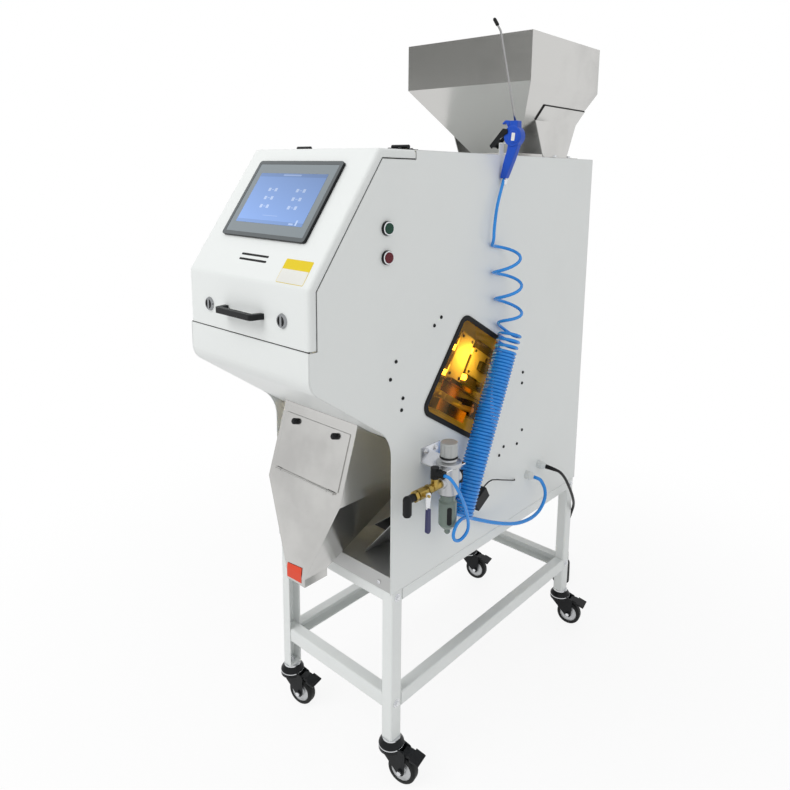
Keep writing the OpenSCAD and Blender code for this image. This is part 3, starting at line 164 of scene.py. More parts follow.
class SorterStage(bpy.types.PropertyGroup):
    """Floor and light"""

    floor: FloatVectorProperty(
        name="Floor", description="Colour of the floor", subtype="COLOR", size=4,
        min=0, max=1, default=(0.93, 0.93, 0.93, 1))
    key: FloatProperty(
        name="Key light", description="Power of the main soft light", default=59.0, unit="POWER")
    fill: FloatProperty(
        name="Fill light", description="Power of the second soft light", default=17.0, unit="POWER")
    sky: FloatProperty(name="Sky", description="Strength of the even light from all round", default=0.56)


# Shader nodes


def feed(tree, socket, value):
    """Gives an input a value, or links it to an output"""
    if isinstance(value, bpy.types.NodeSocket):
        tree.links.new(value, socket)
    else:
        socket.default_value = value


def new_node(tree, kind, inputs, **settings):
    """A node with its settings and inputs; the inputs are keyed by name or place"""
    node = tree.nodes.new(kind)
    for key, value in settings.items():
        setattr(node, key, value)
    for key, value in inputs.items():
        feed(tree, node.inputs[key], value)
    return node


def math_node(tree, operation, a, b):
    return new_node(tree, "ShaderNodeMath", {0: a, 1: b}, operation=operation).outputs[0]


def mixed(tree, mask, first, second):
    """A colour between two, by a mask"""
    inputs = {"Factor": mask, "A": first, "B": second}
    return new_node(tree, "ShaderNodeMix", inputs, data_type="RGBA").outputs["Result"]


def noise(tree, scale, detail, stretch=None, **more):
    """Noise over the object's own coordinates"""
    place = new_node(tree, "ShaderNodeTexCoord", {}).outputs["Object"]
    if stretch is not None:
        place = new_node(tree, "ShaderNodeVectorMath", {0: place, 1: stretch}, operation="MULTIPLY").outputs[0]
    inputs = {"Vector": place, "Scale": scale, "Detail": detail, **more}
    return new_node(tree, "ShaderNodeTexNoise", inputs).outputs["Fac"]


def new_group(name, **inputs):
    """A node group whose inputs have these names and defaults"""
    tree = bpy.data.node_groups.new(name, "ShaderNodeTree")
    for label, value in inputs.items():
        kind = "NodeSocketVector" if isinstance(value, tuple) else "NodeSocketFloat"
        tree.interface.new_socket(label, in_out="INPUT", socket_type=kind).default_value = value
    return tree, tree.nodes.new("NodeGroupInput").outputs


def put_out(tree, **results):
    """Ends a node group with named outputs"""
    for label, source in results.items():
        kind = "NodeSocketVector" if source.type == "VECTOR" else "NodeSocketFloat"
        tree.interface.new_socket(label, in_out="OUTPUT", socket_type=kind)
    new_node(tree, "NodeGroupOutput", results)
    return tree


def put_out_texture(tree, height, amount):
    """Ends a node group with a bump height and a roughness shift"""
    centred = math_node(tree, "SUBTRACT", height, 0.5)
    return put_out(tree, Height=height, Shift=math_node(tree, "MULTIPLY", centred, amount))


def fine_grain_group():
    """Even noise at one scale"""
    tree, given = new_group("Fine grain", Scale=400.0, Amount=0.1)
    return put_out_texture(tree, noise(tree, given["Scale"], 3.0), given["Amount"])


def rolled_lines_group():
    """Long fine lines of rolled or brushed sheet"""
    tree, given = new_group("Rolled lines", Stretch=(900.0, 900.0, 12.0), Amount=0.1)
    return put_out_texture(tree, noise(tree, 1.0, 4.0, given["Stretch"]), given["Amount"])


def soft_patches_group():
    """Broad cloudy variation, for dust, handling and rolled-in tone"""
    tree, given = new_group("Soft patches", Scale=5.0, Low=0.45, High=0.75)
    cloud = noise(tree, given["Scale"], 5.0, Roughness=0.6)
    limits = {"Value": cloud, "From Min": given["Low"], "From Max": given["High"]}
    ramp = new_node(tree, "ShaderNodeMapRange", limits, interpolation_type="SMOOTHSTEP")
    return put_out(tree, Mask=ramp.outputs["Result"])


def edge_rub_group():
    """Mask of the sharp edges, where a finish wears first, and a normal that rounds them"""
    tree, given = new_group("Edge rub", Radius=0.002)
    rounded = new_node(tree, "ShaderNodeBevel", {"Radius": given["Radius"]}, samples=4).outputs["Normal"]
    flat = new_node(tree, "ShaderNodeNewGeometry", {}).outputs["Normal"]
    match = new_node(tree, "ShaderNodeVectorMath", {0: rounded, 1: flat}, operation="DOT_PRODUCT")
    bent = math_node(tree, "SUBTRACT", 1.0, match.outputs["Value"])
    mask = math_node(tree, "MINIMUM", math_node(tree, "MULTIPLY", bent, 4.0), 1.0)
    return put_out(tree, Mask=mask, Normal=rounded)


GROUP_MAKERS = {"Fine grain": fine_grain_group, "Rolled lines": rolled_lines_group,
                "Soft patches": soft_patches_group, "Edge rub": edge_rub_group}
GROUPS = {}


def effect(mat, name, **values):
    """The outputs of a shared node group, placed in a material with its own values"""
    if name not in GROUPS:
        GROUPS[name] = GROUP_MAKERS[name]()
    return new_node(mat.node_tree, "ShaderNodeGroup", values, node_tree=GROUPS[name]).outputs


# Finishes


def opaque(colour, factor=1.0):
    """A colour with its alpha full, made darker or lighter by factor"""
    return tuple(min(1.0, c * factor) for c in tuple(colour)[:3]) + (1.0,)


def new_material(name, colour, roughness, metallic=0.0, **sockets):
    mat = bpy.data.materials.new(name)
    mat.use_nodes = True
    mat.diffuse_color = opaque(colour)
    shader = mat.node_tree.nodes["Principled BSDF"]
    values = dict(sockets, Base_Color=opaque(colour), Roughness=roughness, Metallic=metallic)
    for key, value in values.items():
        shader.inputs[key.replace("_", " ")].default_value = value
    return mat, shader


def grained_gloss(mat, shader, texture, roughness):
    """Roughness that changes with a texture's shift"""
    rough = math_node(mat.node_tree, "ADD", texture["Shift"], roughness)
    feed(mat.node_tree, shader.inputs["Roughness"], rough)


def smeared_gloss(mat, shader, scale, spread, least):
    """Roughness that changes in broad smears, as on a wiped pane"""
    tree = mat.node_tree
    smear = math_node(tree, "MULTIPLY", effect(mat, "Soft patches", Scale=scale)["Mask"], spread)
    feed(tree, shader.inputs["Roughness"], math_node(tree, "ADD", smear, least))


def surface(name, colour, roughness, metallic=0.0, grain=(700.0, 0.12), bump=0.06, depth=0.0004,
            rub=0.0012, rubbed=None, patches=(6.0, 0.94), lines=None, **sockets):
    """A finish with grain in its gloss and relief, broad tone changes and worn or rounded edges"""
    mat, shader = new_material(name, colour, roughness, metallic, **sockets)
    tree = mat.node_tree
    scale, amount = grain
    if lines:
        texture = effect(mat, "Rolled lines", Stretch=lines, Amount=amount)
    else:
        texture = effect(mat, "Fine grain", Scale=scale, Amount=amount)
    grained_gloss(mat, shader, texture, roughness)
    edge = effect(mat, "Edge rub", Radius=rub)
    cloud = effect(mat, "Soft patches", Scale=patches[0])["Mask"]
    tone = mixed(tree, cloud, opaque(colour), opaque(colour, patches[1]))
    if rubbed:
        tone = mixed(tree, math_node(tree, "MULTIPLY", edge["Mask"], 0.35), tone, opaque(rubbed))
    feed(tree, shader.inputs["Base Color"], tone)
    relief = new_node(tree, "ShaderNodeBump", {
        "Strength": bump, "Distance": depth, "Height": texture["Height"], "Normal": edge["Normal"]})
    feed(tree, shader.inputs["Normal"], relief.outputs["Normal"])
    return mat


def finish_table(looks):
    """Each finish's colour, roughness, metallic and what else surface takes"""
    dull, soft = dict(Specular_IOR_Level=0.2), dict(Specular_IOR_Level=0.25)
    foil = dict(grain=(500.0, 0.08), rub=0.0003)
    cap = dict(soft, grain=(500.0, 0.08))
    return {
        "powder coat": (looks.powder, 0.36, 0.0, dict(
            grain=(1400.0, 0.10), bump=0.10, depth=0.0003, rub=0.0035, patches=(3.0, 0.975),
            Coat_Weight=0.15, Coat_Roughness=0.3)),
        "stand paint": (opaque(looks.powder, 1.02), 0.38, 0.0, dict(
            grain=(1200.0, 0.10), bump=0.10, depth=0.0003, rub=0.0015, patches=(5.0, 0.96))),
        "stainless": (looks.steel, 0.20, 1.0, dict(
            grain=(0, 0.14), bump=0.03, depth=0.0002, patches=(2.6, 0.80), lines=(14.0, 14.0, 520.0))),
        "tray steel": ((0.50, 0.505, 0.50), 0.46, 0.7, dict(
            grain=(300.0, 0.2), rub=0.001, patches=(4.0, 0.82))),
        "inner steel": ((0.42, 0.41, 0.40), 0.35, 1.0, dict(grain=(300.0, 0.2), rub=0.001)),
        "zinc plate": ((0.72, 0.73, 0.75), 0.22, 1.0, dict(grain=(500.0, 0.14), rub=0.0006)),
        "dark chrome": ((0.30, 0.31, 0.32), 0.12, 1.0, dict(grain=(300.0, 0.08), rub=0.0006)),
        "rod steel": ((0.36, 0.36, 0.36), 0.22, 1.0, dict(grain=(300.0, 0.1), rub=0.0004)),
        "panel face": ((0.085, 0.098, 0.104), 0.24, 0.0, dict(grain=(900.0, 0.08), rub=0.0008)),
        "black plastic": ((0.009, 0.010, 0.011), 0.42, 0.0, dict(
            dull, grain=(1600.0, 0.16), bump=0.25, rubbed=(0.05, 0.05, 0.05), patches=(20.0, 1.3))),
        "black paint": ((0.007, 0.008, 0.009), 0.34, 0.0, dict(
            dull, grain=(900.0, 0.12), bump=0.12, rubbed=(0.06, 0.06, 0.06), patches=(20.0, 1.4))),
        "black rubber": ((0.008, 0.008, 0.008), 0.55, 0.0, dict(
            dull, grain=(700.0, 0.2), bump=0.2, patches=(18.0, 1.5))),
        "tyre": ((0.010, 0.011, 0.011), 0.5, 0.0, dict(
            dull, grain=(600.0, 0.2), bump=0.2, patches=(30.0, 1.8))),
        "wheel rim": ((0.55, 0.56, 0.57), 0.32, 0.6, dict(grain=(300.0, 0.15), rub=0.0006)),
        "dark alloy": ((0.035, 0.033, 0.032), 0.38, 0.4, dict(grain=(500.0, 0.15), Specular_IOR_Level=0.3)),
        "cast alloy": ((0.52, 0.53, 0.54), 0.36, 0.85, dict(grain=(900.0, 0.18), bump=0.15)),
        "gland nylon": ((0.74, 0.76, 0.74), 0.38, 0.0, dict(grain=(900.0, 0.12), bump=0.12)),
        "knob alloy": ((0.46, 0.475, 0.47), 0.42, 0.25, dict(grain=(900.0, 0.12), bump=0.10)),
        "filter bowl": ((0.165, 0.215, 0.185), 0.22, 0.0, dict(grain=(300.0, 0.1), Coat_Weight=0.2)),
        "brass": ((0.46, 0.32, 0.085), 0.30, 1.0, dict(
            grain=(400.0, 0.2), rub=0.0006, patches=(40.0, 0.75))),
        "navy vinyl": ((0.012, 0.014, 0.10), 0.36, 0.0, dict(grain=(500.0, 0.15))),
        "gun blue": ((0.008, 0.075, 0.50), 0.30, 0.0, dict(grain=(900.0, 0.12), Specular_IOR_Level=0.35)),
        "hose blue": (looks.hose, 0.24, 0.0, dict(
            grain=(260.0, 0.08), bump=0.03, rub=0.0004, patches=(30.0, 0.85),
            Coat_Weight=0.15, Specular_IOR_Level=0.4)),
        "cable sheath": ((0.010, 0.010, 0.011), 0.46, 0.0, dict(dull, grain=(900.0, 0.15), rub=0.0004)),
        "green cap": ((0.003, 0.050, 0.028), 0.28, 0.0, cap),
        "red cap": ((0.115, 0.006, 0.014), 0.28, 0.0, cap),
        "yellow foil": ((0.76, 0.58, 0.015), 0.34, 0.0, dict(foil, **soft)),
        "white foil": ((0.78, 0.78, 0.74), 0.34, 0.0, foil),
        "red foil": ((0.78, 0.065, 0.022), 0.34, 0.0, dict(foil, **soft)),
        "slot black": ((0.008, 0.008, 0.008), 0.7, 0.0, dict(grain=(500.0, 0.1))),
        # black strips that paint the shade in the gaps at the hopper's brackets
        "gap shade": ((0.012, 0.012, 0.012), 0.8, 0.0, dict(grain=(1500.0, 0.2), bump=0.5)),
    }


FINISHES = {}


def finish(name):
    """One of the machine's finishes, made once; a material is passed on as it is"""
    if isinstance(name, bpy.types.Material):
        return name
    if name not in FINISHES:
        colour, roughness, metallic, values = finish_table(bpy.context.scene.sorter_finishes)[name]
        FINISHES[name] = surface(name.capitalize(), colour, roughness, metallic, **values)
    return FINISHES[name]


def dress(node, first, second=None, where=None):
    """Gives a node of the frame its finish, and a second one where a face's centre passes the test"""
    mesh = NODES[node].data
    mesh.materials.clear()
    for item in (first, second):
        if item:
            mesh.materials.append(finish(item))
    for polygon in mesh.polygons:
        polygon.material_index = 1 if where and where(polygon.center) else 0


def dress_all(name, *nodes):
    """Gives several nodes one finish"""
    for node in nodes:
        dress(node, name)


# Meshes


def put_in_scene(name, data):
    obj = bpy.data.objects.new(name, data)
    bpy.context.scene.collection.objects.link(obj)
    return obj


def settle(name, data, finishes, body):
    """An object with its finishes, on its body"""
    obj = put_in_scene(name, data)
    for item in finishes:
        data.materials.append(finish(item))
    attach(obj, body)
    return obj


def new_piece(name, body, verts, faces, finishes, smooth=False, indices=None):
    mesh = bpy.data.meshes.new(name)
    mesh.from_pydata([tuple(v) for v in verts], [], faces)
    mesh.validate()
    build = bmesh.new()
    build.from_mesh(mesh)
    bmesh.ops.recalc_face_normals(build, faces=build.faces)
    build.to_mesh(mesh)
    build.free()
    obj = settle(name, mesh, finishes, body)
    for polygon, index in zip(mesh.polygons, indices or [0] * len(faces)):
        polygon.material_index = index
        polygon.use_smooth = smooth
    return obj


def frame_at(origin, out, up):
    """Matrix whose z axis is out and whose y axis is close to up"""
    z = Vector(out).normalized()
    x = Vector(up).cross(z).normalized()
    return Matrix.Translation(Vector(origin)) @ Matrix((x, z.cross(x), z)).transposed().to_4x4()


def circle(radius, sides, x=0.0, y=0.0):
    """Outline of a round, or of a regular shape with few sides"""
    angles = [2 * math.pi * k / sides for k in range(sides)]
    return [(x + radius * math.cos(angle), y + radius * math.sin(angle)) for angle in angles]


def hexagon(across):
    return circle(across / math.sqrt(3), 6)


def rectangle(x0, y0, x1, y1):
    return [(x0, y0), (x1, y0), (x1, y1), (x0, y1)]


def rounded_rect(w, h, r, steps=5):
    points = []
    x, y = w / 2 - r, h / 2 - r
    for cx, cy, start in ((x, y, 0), (-x, y, 90), (-x, -y, 180), (x, -y, 270)):
        for k in range(steps + 1):
            angle = math.radians(start + 90 * k / steps)
            points.append((cx + r * math.cos(angle), cy + r * math.sin(angle)))
    return points


def ring_faces(rows, sides, start=0):
    """Faces of a stack of rings, closed at both ends"""
    faces = []
    for row in range(rows - 1):
        for k in range(sides):
            a, b = start + row * sides + k, start + row * sides + (k + 1) % sides
            faces.append((a, b, b + sides, a + sides))
    top = start + (rows - 1) * sides
    return faces + [tuple(reversed(range(start, start + sides))), tuple(range(top, top + sides))]


class Lathe:
    """Collects turned and prismatic bits into one mesh"""

    def __init__(self):
        self.verts = []
        self.faces = []
        self.index = []

    def stack(self, place, layers, index):
        """layers are (outline, height) from the foot to the top"""
        self.faces += ring_faces(len(layers), len(layers[0][0]), len(self.verts))
        self.verts += [place @ Vector((x, y, height)) for outline, height in layers for x, y in outline]
        self.index += [index] * (len(self.faces) - len(self.index))

    def turned(self, place, profile, sides=24, index=0):
        """profile is a list of (radius, height) from the foot to the top"""
        self.stack(place, [(circle(radius, sides), height) for radius, height in profile], index)

    def slab(self, place, outline, low, high, index=0, inset=0.0):
        """outline is a list of (x, y); the top is drawn in by inset"""
        layers = [(outline, low), (outline, high - inset)]
        if inset:
            points = [Vector(p) for p in outline]
            middle = sum(points, Vector((0.0, 0.0))) / len(points)
            layers.append(([p + (middle - p).normalized() * inset for p in points], high))
        self.stack(place, layers, index)

    def piece(self, name, body, slot_name, finishes, smooth=False):
        return new_piece(name, body, self.verts, self.faces, finishes, smooth, self.index)


def pan_head(lathe, origin, out, radius, index=0, up=SCREW_UP):
    """A round-headed screw with a recessed socket"""
    profile = ((1.0, 0.0), (1.0, 0.25), (0.86, 0.5), (0.5, 0.62), (0.42, 0.62), (0.38, 0.3))
    lathe.turned(frame_at(origin, out, up), [(radius * r, radius * h) for r, h in profile], 20, index)


def hex_bolt(lathe, origin, out, across, up=SCREW_UP):
    """A hexagon head on its washer"""
    place = frame_at(origin, out, up)
    lathe.turned(place, [(0.95 * across, 0.0), (0.95 * across, 0.0012), (0.88 * across, 0.0016)])
    lathe.slab(place, hexagon(across), 0.0014, 0.0014 + 0.42 * across, inset=0.06 * across)


# Curves


def eased(points, per):
    """Points on a smooth curve through the given ones"""
    points = [Vector(p) for p in points]
    last = len(points) - 1
    result = []
    for i in range(last):
        p0, p1, p2, p3 = points[max(i - 1, 0)], points[i], points[i + 1], points[min(i + 2, last)]
        for k in range(per):
            t = k / per
            result.append(0.5 * (2 * p1 + (p2 - p0) * t + (2 * p0 - 5 * p1 + 4 * p2 - p3) * t * t
                                 + (3 * p1 - p0 - 3 * p2 + p3) * t ** 3))
    return result + [points[last]]


def hose(name, points, diameter, slot_name, look):
    """A round hose as one open curve"""
    curve = bpy.data.curves.new(name, "CURVE")
    curve.dimensions = "3D"
    curve.bevel_depth = diameter / 2
    curve.bevel_resolution = 3
    curve.use_fill_caps = True
    spline = curve.splines.new("POLY")
    spline.points.add(len(points) - 1)
    for spot, p in zip(spline.points, points):
        spot.co = (*p, 1.0)
    spline.use_smooth = True
    return settle(name, curve, [look], "machine")


def swept(points, radii, sides=16):
    """Points and faces of a round rod or sleeve along points"""
    points = [Vector(p) for p in points]
    last = len(points) - 1
    verts, side = [], None
    for i, (p, radius) in enumerate(zip(points, radii)):
        way = (points[min(i + 1, last)] - points[max(i - 1, 0)]).normalized()
        side = (way.orthogonal() if side is None else side - way * side.dot(way)).normalized()
        other = way.cross(side)
        verts += [p + x * side + y * other for x, y in circle(radius, sides)]
    return verts, ring_faces(len(points), sides)


def rounded_corner(a, p, b, radius, steps=6):
    """Points of the arc that rounds the corner p between a and b"""
    d1, d2 = (a - p).normalized(), (b - p).normalized()
    half = math.acos(max(-1.0, min(1.0, d1.dot(d2)))) / 2
    centre = p + (d1 + d2).normalized() * (radius / math.sin(half))
    first, last = (p + d * (radius / math.tan(half)) - centre for d in (d1, d2))
    turn = math.atan2(first.x * last.y - first.y * last.x, first.dot(last))
    return [centre + Matrix.Rotation(turn * k / steps, 2) @ first for k in range(steps + 1)]


# Stage


def seen_mask(tree):
    """1 for what the camera sees, straight or in gloss and glass, and 0 for the light on the machine"""
    rays = new_node(tree, "ShaderNodeLightPath", {}).outputs
    through = math_node(tree, "MAXIMUM", rays["Is Glossy Ray"], rays["Is Transmission Ray"])
    return math_node(tree, "MAXIMUM", rays["Is Camera Ray"], through)


def stage_sheet(name, corners, colour, scale, roughness):
    """A flat sheet of the stage, with grain in its gloss"""
    mesh = bpy.data.meshes.new(name)
    mesh.from_pydata(corners, [], [(0, 1, 2, 3)])
    sheet = put_in_scene(name, mesh)
    mat, shader = new_material(name, colour, roughness)
    mesh.materials.append(mat)
    grained_gloss(mat, shader, effect(mat, "Fine grain", Scale=scale, Amount=0.1), roughness)
    return sheet, mat.node_tree, shader


def make_camera():
    look = Vector((-math.sin(YAW) * math.cos(PITCH), math.cos(YAW) * math.cos(PITCH), -math.sin(PITCH)))
    right = Vector((math.cos(YAW), math.sin(YAW), 0.0))
    spin = Matrix.Rotation(-ROLL, 3, look)
    axes = Matrix((spin @ right, spin @ right.cross(look), -look))
    data = bpy.data.cameras.new("Camera")
    data.sensor_width = SENSOR
    data.lens = SENSOR * FOCAL / IMAGE
    data.shift_x = (IMAGE / 2 - CENTRE_X) / IMAGE
    data.shift_y = (CENTRE_Y - IMAGE / 2) / IMAGE
    data.clip_end = 60.0
    camera = put_in_scene("Camera", data)
    camera.matrix_world = Matrix.Translation(CAMERA_AT) @ axes.transposed().to_4x4()
    return camera


def make_floor(colour):
    """A pale floor that keeps the machine's shadow and is white further out"""
    corners = [(x, y, 0) for x, y in rectangle(-20, -20, 20, 20)]
    tree, shader = stage_sheet("Floor", corners, colour, 60.0, 0.55)[1:]
    place = new_node(tree, "ShaderNodeTexCoord", {}).outputs["Object"]
    away = new_node(tree, "ShaderNodeVectorMath", {0: place}, operation="LENGTH").outputs["Value"]
    limits = {"Value": away, "From Min": 0.5, "From Max": 2.0, "To Min": 0.88, "To Max": 1.0}
    fade = new_node(tree, "ShaderNodeMapRange", limits, interpolation_type="SMOOTHSTEP").outputs["Result"]
    share = math_node(tree, "MULTIPLY", seen_mask(tree), fade)
    white = new_node(tree, "ShaderNodeEmission", {"Strength": 1.0, "Color": WHITE})
    blend = new_node(tree, "ShaderNodeMixShader", {"Fac": share, 1: shader.outputs[0], 2: white.outputs[0]})
    feed(tree, tree.nodes["Material Output"].inputs["Surface"], blend.outputs[0])


def make_card():
    """A grey card that only gloss sees"""
    (x0, y0), (x1, y1), low, high = (-4.6, -2.0), (-2.0, -4.6), 1.9, 3.5
    corners = [(x0, y0, low), (x1, y1, low), (x1, y1, high), (x0, y0, high)]
    card = stage_sheet("Grey_card", corners, (0.42, 0.425, 0.41), 200.0, 0.85)[0]
    card.visible_camera = False
    card.visible_shadow = False
    card.visible_diffuse = False


def make_light(scene, stage):
    """The even sky, two soft lamps and the small one behind the window"""
    scene.world = bpy.data.worlds.new("Studio")
    scene.world.use_nodes = True
    tree = scene.world.node_tree
    sky = tree.nodes["Background"].inputs
    feed(tree, sky["Color"], WHITE)
    rise = math_node(tree, "MULTIPLY", seen_mask(tree), 1.0 - stage.sky)
    feed(tree, sky["Strength"], math_node(tree, "ADD", rise, stage.sky))
    for name, place, aim, size, power in (
            ("Key light", (-0.7, -2.9, 3.5), (0, 0, 0.9), 2.2, stage.key),
            ("Fill light", (3.2, -1.0, 2.6), (0, 0, 0.9), 2.4, stage.fill),
            ("Window lamp", (0.199, -0.105, 0.985), (0.0, -0.125, 0.93), 0.07, 1.6)):
        light = bpy.data.lights.new(name, "AREA")
        light.energy = power
        light.size = size
        lamp = put_in_scene(name, light)
        lamp.location = place
        lamp.rotation_euler = (Vector(aim) - Vector(place)).to_track_quat("-Z", "Y").to_euler()
        lamp.visible_glossy = False
        lamp.visible_camera = False
        lamp.visible_transmission = False


class SORTER_OT_stage(bpy.types.Operator):
    """Makes the camera, the floor, the grey card and the lights"""

    bl_idname = "sorter.stage"
    bl_label = "Stage"

    def execute(self, context):
        scene = context.scene
        scene.view_settings.view_transform = "Standard"
        scene.camera = make_camera()
        make_floor(scene.sorter_stage.floor)
        make_card()
        make_light(scene, scene.sorter_stage)
        return {"FINISHED"}


# Hoses and cord


def coil_points(cords):
    """Centreline of the recoil hose from the air set through its turns to the gun"""
    stretches = [(COIL_LOW, COIL_TIGHT, cords.tight_turns, COIL_R, COIL_R),
                 (COIL_TIGHT, COIL_HIGH, cords.slack_turns, COIL_R, SLACK_R),
                 (COIL_HIGH, LOOSE_HIGH, cords.loose_turns, LOOSE_R, WIDE_R)]
    points = eased(RECOIL_TAIL + [COIL_LOW + Vector((COIL_R, 0.0, 0.001))], 4)[:-1]
    axis = (COIL_TIGHT - COIL_LOW).normalized()
    turn = 0.0
    for low, high, turns, r0, r1 in stretches:
        steps = round(turns * TURN_STEPS)
        for k in range(steps):
            share = k / steps
            axis = axis.lerp((high - low).normalized(), AXIS_EASE).normalized()
            out = (RIGHT - axis * axis.x).normalized()
            side = axis.cross(out)
            angle = 2 * math.pi * (turn + turns * share)
            radius = r0 + (r1 - r0) * min(1.0, 2.0 * share)
            points.append(low.lerp(high, share) + radius * (math.cos(angle) * out + math.sin(angle) * side))
        turn += turns
    return points + eased(points[-2:] + RECOIL_LEAD, 5)[6:]


def hank_points(diameter):
    """Centreline of the power cord from the gland to the floor, through the hank, to the plug"""
    spin = Matrix.Rotation(HANK_TURN, 3, "Z")
    radius = HANK_W / 2 - diameter / 2
    straight = HANK_RUN - HANK_W
    fold = math.pi * radius
    left, right = HANK_W / 2, HANK_W / 2 + straight
    wound_length = HANK_LAPS * 2 * (straight + fold)
    run_steps, fold_steps = 6, 12

    def local(x, y, z):
        return HANK_START + spin @ Vector((x, y, z))

    def height(distance):
        return diameter * (0.5 + (HANK_LAPS - 1) * max(0.0, 1.0 - distance / wound_length))

    wound = []
    gone = 0.0
    for side, start, end in ((-1, left, right), (1, right, left)) * HANK_LAPS:
        for k in range(run_steps):
            share = k / run_steps
            wound.append(local(start - side * straight * share, side * radius, height(gone + straight * share)))
        gone += straight
        for k in range(fold_steps):
            share = k / fold_steps
            angle = side * math.pi / 2 + math.pi * share
            wound.append(local(end + radius * math.cos(angle), radius * math.sin(angle),
                               height(gone + fold * share)))
        gone += fold
    wound += [local(left + straight * k / run_steps, -radius, diameter / 2) for k in range(run_steps)]
    tail = [local(right, -radius, diameter / 2), local(right + 0.012, -radius + 0.004, 0.0065),
            local(HANK_RUN - 0.003, -0.007, 0.012)]
    landing = [local(-0.010, -0.010, 0.030), local(0.008, -0.0185, 0.0235), wound[0]]
    return eased(POWER_ROUTE + landing, 6)[:-1] + wound + tail


def air_gun():
    """The gun's moulded body with its hook, and the bent nozzle with its rubber tip"""
    place = frame_at(GUN, -BACK, UP)
    back = [(0.019, -0.008), (0.012, -0.030), (0.002, -0.056), (-0.0100, -0.084), (-0.0170, -0.100)]
    face = [(-0.0335, -0.100), (-0.0300, -0.082), (-0.0235, -0.056), (-0.0165, -0.034), (-0.0130, -0.012)]
    grip = [tuple(p[:2]) for edge in (back, face) for p in eased([(x, y, 0.0) for x, y in edge], 3)]
    neck = [(-0.012, 0.010), (0.014, 0.010), (0.013, 0.036), (-0.008, 0.036)]
    hook = [(-0.014, 0.016), (-0.008, 0.036), (-0.024, 0.038), (-0.034, 0.030), (-0.030, 0.027),
            (-0.022, 0.031)]
    shell = Lathe()
    for outline, low, high in (
            (circle(0.0245, 40), -0.011, 0.011), (circle(0.0155, 32, 0.005, -0.002), 0.0, 0.0135),
            (grip, -0.0082, 0.0082), (neck, -0.0100, 0.0100), (hook, -0.007, 0.007)):
        shell.slab(place, outline, low, high)
    body = shell.piece("gun_shell", "machine", "blue_hose", ["gun blue"], smooth=True)
    soft = body.modifiers.new("Moulded edges", "BEVEL")
    soft.width = 0.0026
    soft.segments = 3
    soft.limit_method = "ANGLE"
    soft.angle_limit = math.radians(35)
    soft.harden_normals = True
    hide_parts("gun_body")
    foot, bend, end = Vector((0.2425, 1.572)), Vector((0.1905, 1.786)), Vector((0.1735, 1.8115))
    bent = [foot, foot.lerp(bend, 0.5)] + rounded_corner(foot, bend, end, 0.022) + [end]
    verts, faces = swept([(p.x, GUN.y, p.y) for p in bent], [0.0026] * len(bent))
    new_piece("gun_nozzle", "machine", verts, faces, ["rod steel"], smooth=True)
    way = (end - bend).normalized()
    tip = Lathe()
    tip.turned(frame_at((end.x, GUN.y, end.y), (way.x, 0, way.y), BACK),
               [(0.0038, -0.014), (0.0043, -0.012), (0.0043, 0.003), (0.0030, 0.006)], 20)
    tip.piece("gun_nozzle_tip", "machine", "black_plastic", ["black rubber"])
    return body


class SORTER_OT_recoil_hose(bpy.types.Operator):
    """Makes the coiled hose from the air set to the gun, and the gun on its end"""

    bl_idname = "sorter.recoil_hose"
    bl_label = "Recoil hose"

    def execute(self, context):
        cords = context.scene.sorter_cords
        points = coil_points(cords)
        piece = hose("recoil_hose", points, cords.recoil_d, "blue_hose", "hose blue")
        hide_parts("recoil_lines", "recoil_coil")
        air_gun()
        return {"FINISHED"}


class SORTER_OT_air_tube(bpy.types.Operator):
    """Makes the plain tube from the regulator into the cabinet"""

    bl_idname = "sorter.air_tube"
    bl_label = "Air tube"

    def execute(self, context):
        cords = context.scene.sorter_cords
        points = eased(AIR_ROUTE, 4)
        piece = hose("air_line", points, cords.air_d, "blue_hose", "hose blue")
        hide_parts("air_tube")
        return {"FINISHED"}


def lead_boot():
    """The ribbed, tapered boot where the cord leaves its gland"""
    route = eased(POWER_ROUTE, 8)[:13]
    last = len(route) - 1
    thick, taper, groove = 0.0066, 0.0018, 0.0004
    radii = [thick - taper * k / last - groove * (k % 3 == 2) for k in range(last + 1)]
    verts, faces = swept(route, radii, 20)
    return new_piece("lead_boot", "machine", verts, faces, ["black rubber"], smooth=True)


def hank_tie(diameter):
    """The strap round one side of the hank"""
    wide, tall = diameter + 0.0026, HANK_LAPS * diameter + 0.0012
    side_wall, top_wall, half = 0.0012, 0.0013, 0.005
    loops = (rounded_rect(wide + 2 * side_wall, tall + 2 * top_wall, 0.004), rounded_rect(wide, tall, 0.003))
    turn = Matrix.Translation(HANK_START) @ Matrix.Rotation(HANK_TURN, 4, "Z")
    verts = [turn @ Vector((HANK_RUN / 2 + x, y + HANK_W / 2 - diameter / 2, z + tall / 2 + top_wall))
             for x in (-half, half) for loop in loops for y, z in loop]
    n = len(loops[0])
    faces = [(a * n + k, a * n + (k + 1) % n, b * n + (k + 1) % n, b * n + k)
             for a, b in ((0, 2), (1, 3), (0, 1), (2, 3)) for k in range(n)]
    return new_piece("hank_tie", "machine", verts, faces, ["black plastic"])


class SORTER_OT_power_cord(bpy.types.Operator):
    """Makes the power cord with its boot, its plug's finish and the tied hank behind the machine"""

    bl_idname = "sorter.power_cord"
    bl_label = "Power cord"

    def execute(self, context):
        diameter = context.scene.sorter_cords.power_d
        points = hank_points(diameter)
        piece = hose("power_lead", points, diameter, "cable", "cable sheath")
        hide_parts("power_cord", "power_hank")
        dress("power_plug", "black plastic")
        lead_boot()
        hank_tie(diameter)
        return {"FINISHED"}


# Cabinet and steelwork


